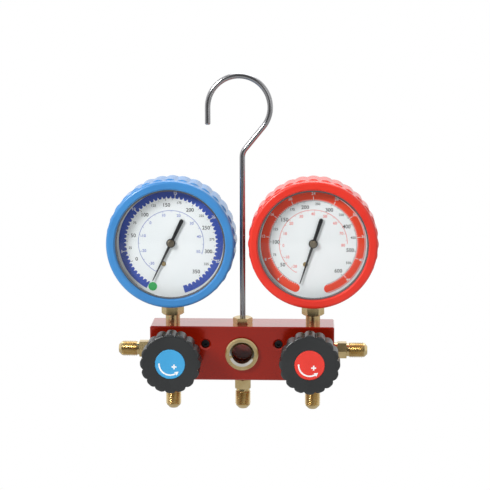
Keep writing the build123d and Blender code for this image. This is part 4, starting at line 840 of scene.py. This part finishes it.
@dataclass
class DialPrint:
    """The printing on one gauge's dial, laid on it in thin layers of ink.

    Sizes are in millimetres and angles in degrees, clockwise from the top.
    """

    side: Side
    band: tuple[float, float]  # inner and outer radius
    start: float  # of the band, in degrees clockwise from the top
    sweep: float
    band_scale: Scale  # white, on the band
    main_scale: Scale  # black, inside the band
    fine_scale: Scale  # pale, inside the fine circle
    fine_radius: float  # of the fine circle
    fine_start: float
    fine_sweep: float
    divisions: int = 10  # of the band, from one number to the next
    band_digits: DigitRow = DigitRow(-1.5, 2.0)  # along the band's outer edge
    low_teeth: MarkRow = MarkRow(0.45, 1.6, 1.9, corners=3)  # along the band's inner edge
    low_marks: MarkRow = MarkRow(-0.9, 0.55, 3.3)  # along the band's middle
    high_marks: MarkRow = MarkRow(1.2, 0.45, 2.6)  # along the band's inner edge
    high_divisions: MarkRow = MarkRow(0.35, 0.25, 1.0)  # and so down to the midway marks
    main_digits: DigitRow = DigitRow(-4.6, 2.6)
    midway_digits: DigitRow = DigitRow(-2.6, 1.7)
    main_marks: MarkRow = MarkRow(-0.9, 0.3, 1.4)
    midway_marks: MarkRow = MarkRow(-0.7, 0.2, 0.9)
    fine_marks: MarkRow = MarkRow(-0.6, 0.22, 1.2)  # along the fine circle
    fine_digits: DigitRow = DigitRow(-2.9, 2.0)
    fine_line: float = 0.17  # half the width of the fine circle
    rim_line: tuple[float, float] = (0.75, 0.45)  # in from the high band's outer edge
    rim_span: tuple[float, float] = (25.0, 139.0)  # its start and sweep
    foot_line: tuple[float, float] = (0.5, 0.3)  # in from the high band's inner edge
    rest_spot: tuple[float, float] = (34.0, -157.0)  # radius and angle of its middle
    rest_radius: float = 3.1
    gauge_spacing: float = 50.3
    gauge_rise: float = 59.2
    dial_face: float = 8.4
    layer: float = 0.04
    under: float = 0.8  # share of a layer at which the band's round ends slip under it

    def place(self, layers: float = 0.0) -> Matrix:
        """The dial's centre, a number of ink layers ahead of its face."""
        x = self.side.sign * self.gauge_spacing
        return facing_front(x, -(self.dial_face + layers * self.layer), self.gauge_rise)

    def lay(
        self,
        shelf: FinishShelf,
        pieces: list[bpy.types.Object],
        name: str,
        ink: Finish,
        layers: float = 0.0,
    ) -> None:
        """Joins one colour of the print and lays it on the dial.

        Args:
            shelf: Where the finishes come from.
            pieces: What is printed in this colour.
            name: What it is called.
            ink: Its colour.
            layers: How many layers of ink lie under it.
        """
        print_ = joined(pieces, f"{self.side.value}_dial_{name}")
        shelf.dress(print_, ink)
        put(print_, self.place(layers))
        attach(print_, "manifold")
        log.info("%s printed, %d faces", print_.name, len(print_.data.polygons))

    def ticks(self, edge: float, row: MarkRow, angles: list[float]) -> list[bpy.types.Object]:
        """Copies one short mark round the dial.

        Args:
            edge: Radius of the edge that the row follows.
            row: The marks' size and place.
            angles: Where they go, in degrees clockwise from the top.

        Returns:
            The marks.
        """
        size = (row.width, row.length)
        if row.corners == 4:
            mark = bar("mark", size, self.layer)
        else:
            mark = flat_shape("mark", row.corners, size, self.layer)
        marks = [copy_of(mark, around(edge + row.offset, angle)) for angle in angles]
        bpy.data.objects.remove(mark)
        return marks

    def numerals(self, edge: float, row: DigitRow, scale: Scale) -> list[bpy.types.Object]:
        """Sets plain numbers round the dial, upright.

        Args:
            edge: Radius of the edge that the row follows.
            row: The numbers' size and place.
            scale: The numbers.

        Returns:
            The numbers.
        """
        return [
            put(lettered(number, row.height, self.layer), upright(edge + row.offset, angle))
            for number, angle in zip(scale.numbers, scale.divided())
            if number
        ]

    def line(
        self, name: str, edge: float, inset: tuple[float, float], span: tuple[float, float]
    ) -> bpy.types.Object:
        """Draws a fine curved line a little inside an edge.

        Args:
            name: What it is called.
            edge: Radius of the edge.
            inset: How far in from it the line's inner and outer sides lie.
            span: Its start and sweep in degrees.

        Returns:
            The line.
        """
        start, sweep = span
        return arc_band(name, edge - inset[0], edge - inset[1], start, sweep, self.layer)

    def coloured_band(self) -> list[bpy.types.Object]:
        """The coloured band, with round ends on the high dial.

        Returns:
            Its parts.
        """
        inner, outer = self.band
        parts = [arc_band("band", inner, outer, self.start, self.sweep, self.layer)]
        if self.side is Side.HIGH:
            middle, reach = (inner + outer) / 2, (outer - inner) / 2
            for angle in (self.start, self.start + self.sweep):
                parts.append(put(disc("end", reach, self.layer * self.under, 32), upright(middle, angle)))
        return parts

    def band_marks(self) -> list[bpy.types.Object]:
        """What stands white on the band: numbers, and teeth or lines.

        Returns:
            The marks.
        """
        inner, outer = self.band
        scale = self.band_scale
        white = self.numerals(outer, self.band_digits, scale)
        if self.side is Side.LOW:
            white += self.ticks(inner, self.low_teeth, scale.divided(self.divisions)[1:-1])
            white += self.ticks((inner + outer) / 2, self.low_marks, scale.divided()[1:-1])
        else:
            white += self.ticks(inner, self.high_marks, scale.divided()[1:-1])
            between = [a for n, a in enumerate(scale.divided(self.divisions)) if n % self.divisions]
            white += self.ticks(inner, self.high_divisions, between)
            white.append(self.line("arc", outer, self.rim_line, self.rim_span))
        return white

    def main_print(self) -> list[bpy.types.Object]:
        """The main scale in black, with smaller numbers midway, inside the band.

        Returns:
            Its numbers and lines.
        """
        edge, scale = self.band[0], self.main_scale
        values = [int(number) for number in scale.numbers]
        midway = tuple(str((a + b) // 2) for a, b in zip(values, values[1:]))
        halves = scale.divided(2)
        black = self.numerals(edge, self.main_digits, scale)
        black += self.numerals(edge, self.midway_digits, Scale(midway, halves[1], scale.step))
        black += self.ticks(edge, self.main_marks, halves[::2])
        black += self.ticks(edge, self.midway_marks, [a + scale.step / 4 for a in halves[:-1]])
        if self.side is Side.HIGH:
            black.append(self.line("line", edge, self.foot_line, (self.start, self.sweep)))
        return black

    def fine_print(self) -> list[bpy.types.Object]:
        """The pale scale nearest the pointer's boss.

        Returns:
            Its circle, lines and numbers.
        """
        width, step = self.fine_line, self.fine_scale.step / 2
        span = (self.fine_start, self.fine_sweep)
        pale = [self.line("circle", self.fine_radius, (width, -width), span)]
        angles = [self.fine_start + n * step for n in range(int(self.fine_sweep / step) + 1)]
        pale += self.ticks(self.fine_radius, self.fine_marks, angles)
        pale += self.numerals(self.fine_radius, self.fine_digits, self.fine_scale)
        return pale

    def build(self, shelf: FinishShelf) -> None:
        """Prints the whole dial, one colour after another.

        Args:
            shelf: Where the finishes come from.
        """
        low = self.side is Side.LOW
        self.lay(shelf, self.coloured_band(), "scale_band", BLUE_INK if low else RED_INK)
        self.lay(shelf, self.band_marks(), "scale_marks", WHITE_INK, 1.0)
        self.lay(shelf, self.main_print(), "numbers", BLACK_INK)
        self.lay(shelf, self.fine_print(), "inner_scale", PALE_BLUE_INK if low else PALE_RED_INK)
        if low:
            spot = put(disc("spot", self.rest_radius, self.layer, 40), upright(*self.rest_spot))
            self.lay(shelf, [spot], "rest_mark", GREEN_INK, 2.0)


# ---- knob discs ----------------------------------------------------------------------------


@dataclass
class TurnMark:
    """The white opening arrow on one knob's disc, with a plus for more flow."""

    side: Side
    valve_spacing: float = 48.3
    valve_drop: float = 19.5
    disc_front: float = 47.65  # disc's face, ahead of the set's middle plane
    radius: float = 7.6
    line: float = 1.1
    arc_start: float = 150.0  # degrees clockwise from the top
    arc_sweep: float = 125.0
    head_size: tuple[float, float] = (2.9, 2.7)
    head_lead: float = 6.0  # degrees that the head stands ahead of the arc's end
    plus_at: tuple[float, float] = (2.8, -1.8)
    stroke: tuple[float, float] = (3.4, 1.0)
    layer: float = 0.04
    under: float = 0.9  # share of a layer at which one stroke slips under the other

    def build(self, shelf: FinishShelf) -> None:
        """Prints the arrow and the plus.

        Args:
            shelf: Where the finishes come from.
        """
        thin = self.layer
        inner, outer = self.radius - self.line / 2, self.radius + self.line / 2
        pieces = [arc_band("arc", inner, outer, self.arc_start, self.arc_sweep, thin)]
        head = flat_shape("head", 3, self.head_size, thin)
        put(head, Matrix.Rotation(math.pi / 2, 4, "Z"))
        pieces.append(put(head, around(self.radius, self.arc_start - self.head_lead)))
        across, rise = self.plus_at
        at = Matrix.Translation((across * MM, rise * MM, 0))
        pieces.append(put(bar("stroke", self.stroke, thin), at))
        pieces.append(put(bar("stroke", self.stroke[::-1], thin * self.under), at))
        mark = joined(pieces, f"{self.side.value}_knob_turn_mark")
        shelf.dress(mark, WHITE_INK)
        x = self.side.sign * self.valve_spacing
        put(mark, facing_front(x, -self.disc_front, -self.valve_drop))
        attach(mark, f"{self.side.value}_knob_and_stem")
        log.info("%s printed, %d faces", mark.name, len(mark.data.polygons))


# ---- sight glass ---------------------------------------------------------------------------


@dataclass
class SightBevel:
    """A painted reflection: a bright silvery skin on the bevel inside the sight glass ring, standing in
    for the shine of the glass edge.
    """

    window_diameter: float = 14.4
    bevel: float = 1.7
    flange_height: float = 3.0
    block_front: float = 14.3
    block_middle: float = 19.5  # below the block's top
    skin: float = 0.04
    segments: int = 96

    def build(self, shelf: FinishShelf) -> None:
        """Lays the painted reflection on the bevel.

        Args:
            shelf: Where the finishes come from.
        """
        inner, top = self.window_diameter / 2, self.flange_height
        foot, head = (inner, top - self.bevel), (inner + self.bevel, top)
        lifted = [(radius - self.skin, height + self.skin) for radius, height in (foot, head)]
        reflection_skin = turned("sight_glass_painted_reflection", [foot] + lifted + [head, foot], self.segments)
        shelf.dress(reflection_skin, NICKEL_PAINTED_REFLECTION)
        smooth(reflection_skin)
        put(reflection_skin, facing_front(0, -self.block_front, -self.block_middle))
        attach(reflection_skin, "manifold")
        log.info("%s laid on, %d faces", reflection_skin.name, len(reflection_skin.data.polygons))


# ---- pointer bosses ------------------------------------------------------------------------


@dataclass
class PointerBoss:
    """The bare domed head of the boss that carries one pointer."""

    side: Side
    radius: float = 3.0
    height: float = 0.45
    setback: float = 0.5  # how far inside the boss's rim the dome stays
    dome: tuple[float, ...] = (85, 70, 55, 40, 25, 12)  # its rings, in degrees from the middle
    front: float = 11.3  # boss's face, ahead of the set's middle plane
    gauge_spacing: float = 50.3
    gauge_rise: float = 59.2
    segments: int = 48
    soft_angle: float = 40.0  # degrees: flatter edges are shaded smooth

    def build(self, shelf: FinishShelf) -> None:
        """Turns the head and sets it on the boss.

        Args:
            shelf: Where the finishes come from.
        """
        rings = [(PINHOLE, 0.0), (self.radius - self.setback, 0.0)]
        for turn in map(math.radians, self.dome):
            rings.append((self.radius * math.sin(turn) - self.setback, self.height * math.cos(turn)))
        rings += [(PINHOLE, self.height), (PINHOLE, 0.0)]
        head = turned(f"{self.side.value}_pointer_boss_head", rings, self.segments)
        shelf.dress(head, TARNISHED_BRASS)
        smooth(head, self.soft_angle)
        x = self.side.sign * self.gauge_spacing
        put(head, facing_front(x, -self.front, self.gauge_rise))
        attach(head, f"{self.side.value}_pointer_arbor")
        log.info("%s turned, %d faces", head.name, len(head.data.polygons))


# ---- studio ----------------------------------------------------------------------------------


@dataclass(frozen=True)
class Lamp:
    """One soft box, aimed at the middle of the set; places and sizes are in metres."""

    name: str
    at: tuple[float, float, float]
    size: float
    watts: float
    aim: tuple[float, float, float] = (0.0, 0.0, -0.12)

    def build(self) -> None:
        """Hangs the lamp."""
        data = bpy.data.lights.new(self.name, "AREA")
        data.shape, data.size, data.energy = "SQUARE", self.size, self.watts
        lamp = bpy.data.objects.new(self.name, data)
        bpy.context.collection.objects.link(lamp)
        lamp.location = self.at
        way = Vector(self.aim) - Vector(self.at)
        lamp.rotation_euler = way.to_track_quat("-Z", "Y").to_euler()
        log.info("%s hung", lamp.name)


@dataclass
class Studio:
    """A pale room with soft light, and the camera; places and sizes are in metres."""

    camera_at: tuple[float, float, float] = (0.0529, -1.1223, 0.0736)
    pitch: float = -9.685
    yaw: float = 2.61
    roll: float = 0.15
    lens: float = 117.6
    sensor: float = 36.0
    clip: tuple[float, float] = (0.05, 20.0)
    fill: float = 0.38  # strength of the surround on surfaces
    front_gloss: float = 0.1  # what metal mirrors from the dark side, behind the camera
    gloss_span: tuple[float, float] = (-0.75, 0.05)  # how far along Y the dark side fades out
    floor_gloss: float = 0.6  # what metal mirrors from the floor
    floor_drop: float = 0.62
    floor_size: float = 6.0
    floor_colour: str = "#eeeeee"
    floor_roughness: float = 0.8
    lamps: tuple[Lamp, ...] = (
        Lamp("key_softbox", (-0.92, -0.92, 0.72), 0.42, 19.0),
        Lamp("fill_softbox", (0.9, -1.1, 0.25), 0.9, 2.4),
        Lamp("top_softbox", (0.1, 0.55, 1.0), 0.9, 9.0),
    )

    def surround(self) -> None:
        """Paints the world: white to the eye, softer on surfaces, darker in front to metal."""
        world = bpy.data.worlds.new("pale_room")
        bpy.context.scene.world = world
        world.use_nodes = True
        tree = world.node_tree
        tree.nodes.clear()
        rays = add_node(tree, "ShaderNodeLightPath").outputs
        metal_or_glass = add_node(
            tree, "ShaderNodeMath", {0: rays["Is Glossy Ray"], 1: rays["Is Transmission Ray"]},
            operation="MAXIMUM",
        )
        white = add_node(tree, "ShaderNodeBackground", Color=WHITE_LIGHT, Strength=1.0)
        soft = add_node(tree, "ShaderNodeBackground", Color=WHITE_LIGHT, Strength=self.fill)
        way = add_node(tree, "ShaderNodeTexCoord").outputs["Generated"]
        along = add_node(tree, "ShaderNodeSeparateXYZ", {"Vector": way}).outputs["Y"]
        mirrored = add_node(
            tree, "ShaderNodeMapRange", {"Value": along}, From_Min=self.gloss_span[0],
            From_Max=self.gloss_span[1], To_Min=self.front_gloss, To_Max=1.0,
        )
        gloss = add_node(
            tree, "ShaderNodeBackground", {"Strength": mirrored.outputs["Result"]}, Color=WHITE_LIGHT
        )
        shaded = add_node(tree, "ShaderNodeMixShader", {0: metal_or_glass.outputs["Value"]})
        tree.links.new(soft.outputs["Background"], shaded.inputs[1])
        tree.links.new(gloss.outputs["Background"], shaded.inputs[2])
        seen = add_node(
            tree, "ShaderNodeMixShader",
            {0: rays["Is Camera Ray"], 1: shaded.outputs["Shader"], 2: white.outputs["Background"]},
        )
        add_node(tree, "ShaderNodeOutputWorld", {"Surface": seen.outputs["Shader"]})

    def floor_paint(self) -> bpy.types.Material:
        """Mixes the floor's paint: white to the eye, pale to the light that falls on it.

        Returns:
            The material.
        """
        material = bpy.data.materials.new("pale_floor_paint")
        material.use_nodes = True
        tree = material.node_tree
        shader, output = tree.nodes["Principled BSDF"], tree.nodes["Material Output"]
        shader.inputs["Base Color"].default_value = linear(self.floor_colour)
        shader.inputs["Roughness"].default_value = self.floor_roughness
        rays = add_node(tree, "ShaderNodeLightPath").outputs
        mirrored = add_node(
            tree, "ShaderNodeMapRange", {"Value": rays["Is Glossy Ray"]}, To_Min=1.0,
            To_Max=self.floor_gloss,
        )
        glow = add_node(
            tree, "ShaderNodeEmission", {"Strength": mirrored.outputs["Result"]}, Color=WHITE_LIGHT
        )
        eye_or_glass = add_node(
            tree, "ShaderNodeMath", {0: rays["Is Camera Ray"], 1: rays["Is Transmission Ray"]},
            operation="MAXIMUM",
        )
        seen = add_node(
            tree, "ShaderNodeMath", {0: eye_or_glass.outputs["Value"], 1: rays["Is Glossy Ray"]},
            operation="MAXIMUM",
        )
        mix = add_node(
            tree, "ShaderNodeMixShader",
            {0: seen.outputs["Value"], 1: shader.outputs["BSDF"], 2: glow.outputs["Emission"]},
        )
        tree.links.new(mix.outputs["Shader"], output.inputs["Surface"])
        return material

    def floor(self) -> None:
        """Lays a plain pale floor below the set."""
        deselect()
        bpy.ops.mesh.primitive_plane_add(size=self.floor_size, location=(0, 0, -self.floor_drop))
        floor = added("pale_floor")
        bpy.ops.object.transform_apply(location=True)
        floor.data.materials.append(self.floor_paint())

    def camera(self) -> None:
        """Stands the camera where the set is looked at from."""
        data = bpy.data.cameras.new("view")
        data.lens, data.sensor_width, data.sensor_fit = self.lens, self.sensor, "AUTO"
        data.clip_start, data.clip_end = self.clip
        camera = bpy.data.objects.new("view", data)
        bpy.context.collection.objects.link(camera)
        turn = Matrix.Identity(4)
        for angle, axis in ((self.yaw, "Z"), (self.pitch, "X"), (self.roll, "Y"), (90, "X")):
            turn = turn @ Matrix.Rotation(math.radians(angle), 4, axis)
        camera.matrix_world = Matrix.Translation(self.camera_at) @ turn
        bpy.context.scene.camera = camera
        bpy.context.scene.view_settings.view_transform = "Standard"

    def build(self) -> None:
        """Sets up surround, lamps, floor and camera."""
        self.surround()
        for lamp in self.lamps:
            lamp.build()
        self.floor()
        self.camera()


# ---- the set -----------------------------------------------------------------------------------


@dataclass
class ManifoldSet:
    """The whole set, dressed."""

    shelf: FinishShelf = field(default_factory=FinishShelf)
    port_spacing: float = 50.3
    block_length: float = 131.0
    block_height: float = 39.0

    def fittings(self) -> list[FlareFitting]:
        """The three ports under the block and the two posts on its ends.

        Returns:
            The five fittings.
        """
        below = Matrix.Rotation(math.pi, 4, "X")
        made = []
        height = (-self.block_height - ORIGIN_RISE) * MM
        for node, x in (("low_side_port", -1), ("centre_port", 0), ("high_side_port", 1)):
            at = Matrix.Translation((x * self.port_spacing * MM, 0, height))
            made.append(FlareFitting(node, at @ below))
        height = (-self.block_height / 2 - ORIGIN_RISE) * MM
        for node, side in (("left_parking_post", -1), ("right_parking_post", 1)):
            at = Matrix.Translation((side * self.block_length / 2 * MM, 0, height))
            made.append(FlareFitting(node, at @ Matrix.Rotation(side * math.pi / 2, 4, "Y"), blind=True))
        return made

    def dials(self) -> list[DialPrint]:
        """The printing of both dials.

        Returns:
            The low dial's and the high dial's.
        """
        low = DialPrint(
            Side.LOW,
            band=(31.8, 37.1),
            start=-151.5,
            sweep=316.5,
            band_scale=Scale(("", "5", "10", "15", "20", "25", ""), -153.5, 53.0),
            main_scale=Scale(("0", "50", "100", "150", "200", "250", "300", "350"), -115.5, 36.4),
            fine_scale=Scale(("-30", "-20", "-10", "0", "10", "20", "30", "40", "50"), -137.0, 30.6),
            fine_radius=23.2,
            fine_start=-152.0,
            fine_sweep=262.0,
        )
        fours = tuple(str(number) for number in range(4, 45, 4))
        tens = tuple(str(number) for number in range(-20, 81, 10))
        high = DialPrint(
            Side.HIGH,
            band=(31.0, 37.1),
            start=-158.5,
            sweep=320.0,
            band_scale=Scale(("",) + fours + ("",), -163.5, 27.25),
            main_scale=Scale(("50", "100", "150", "200", "300", "400", "500", "600"), -125.5, 37.6),
            fine_scale=Scale(tens, -141.0, 23.4),
            fine_radius=24.0,
            fine_start=-150.0,
            fine_sweep=240.0,
        )
        return [low, high]

    def build(self) -> None:
        """Dresses the solids and adds each piece."""
        self.shelf.dress_nodes()
        for fitting in self.fittings():
            fitting.build(self.shelf)
        for dial in self.dials():
            dial.build(self.shelf)
        SightBevel().build(self.shelf)
        for side in Side:
            TurnMark(side).build(self.shelf)
            PointerBoss(side).build(self.shelf)


def main() -> None:
    """Builds the studio and the set."""
    logging.basicConfig(level=logging.INFO, format="%(message)s", stream=sys.stdout)
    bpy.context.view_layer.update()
    Studio().build()
    ManifoldSet().build()


if __name__ == "__main__":
    main()
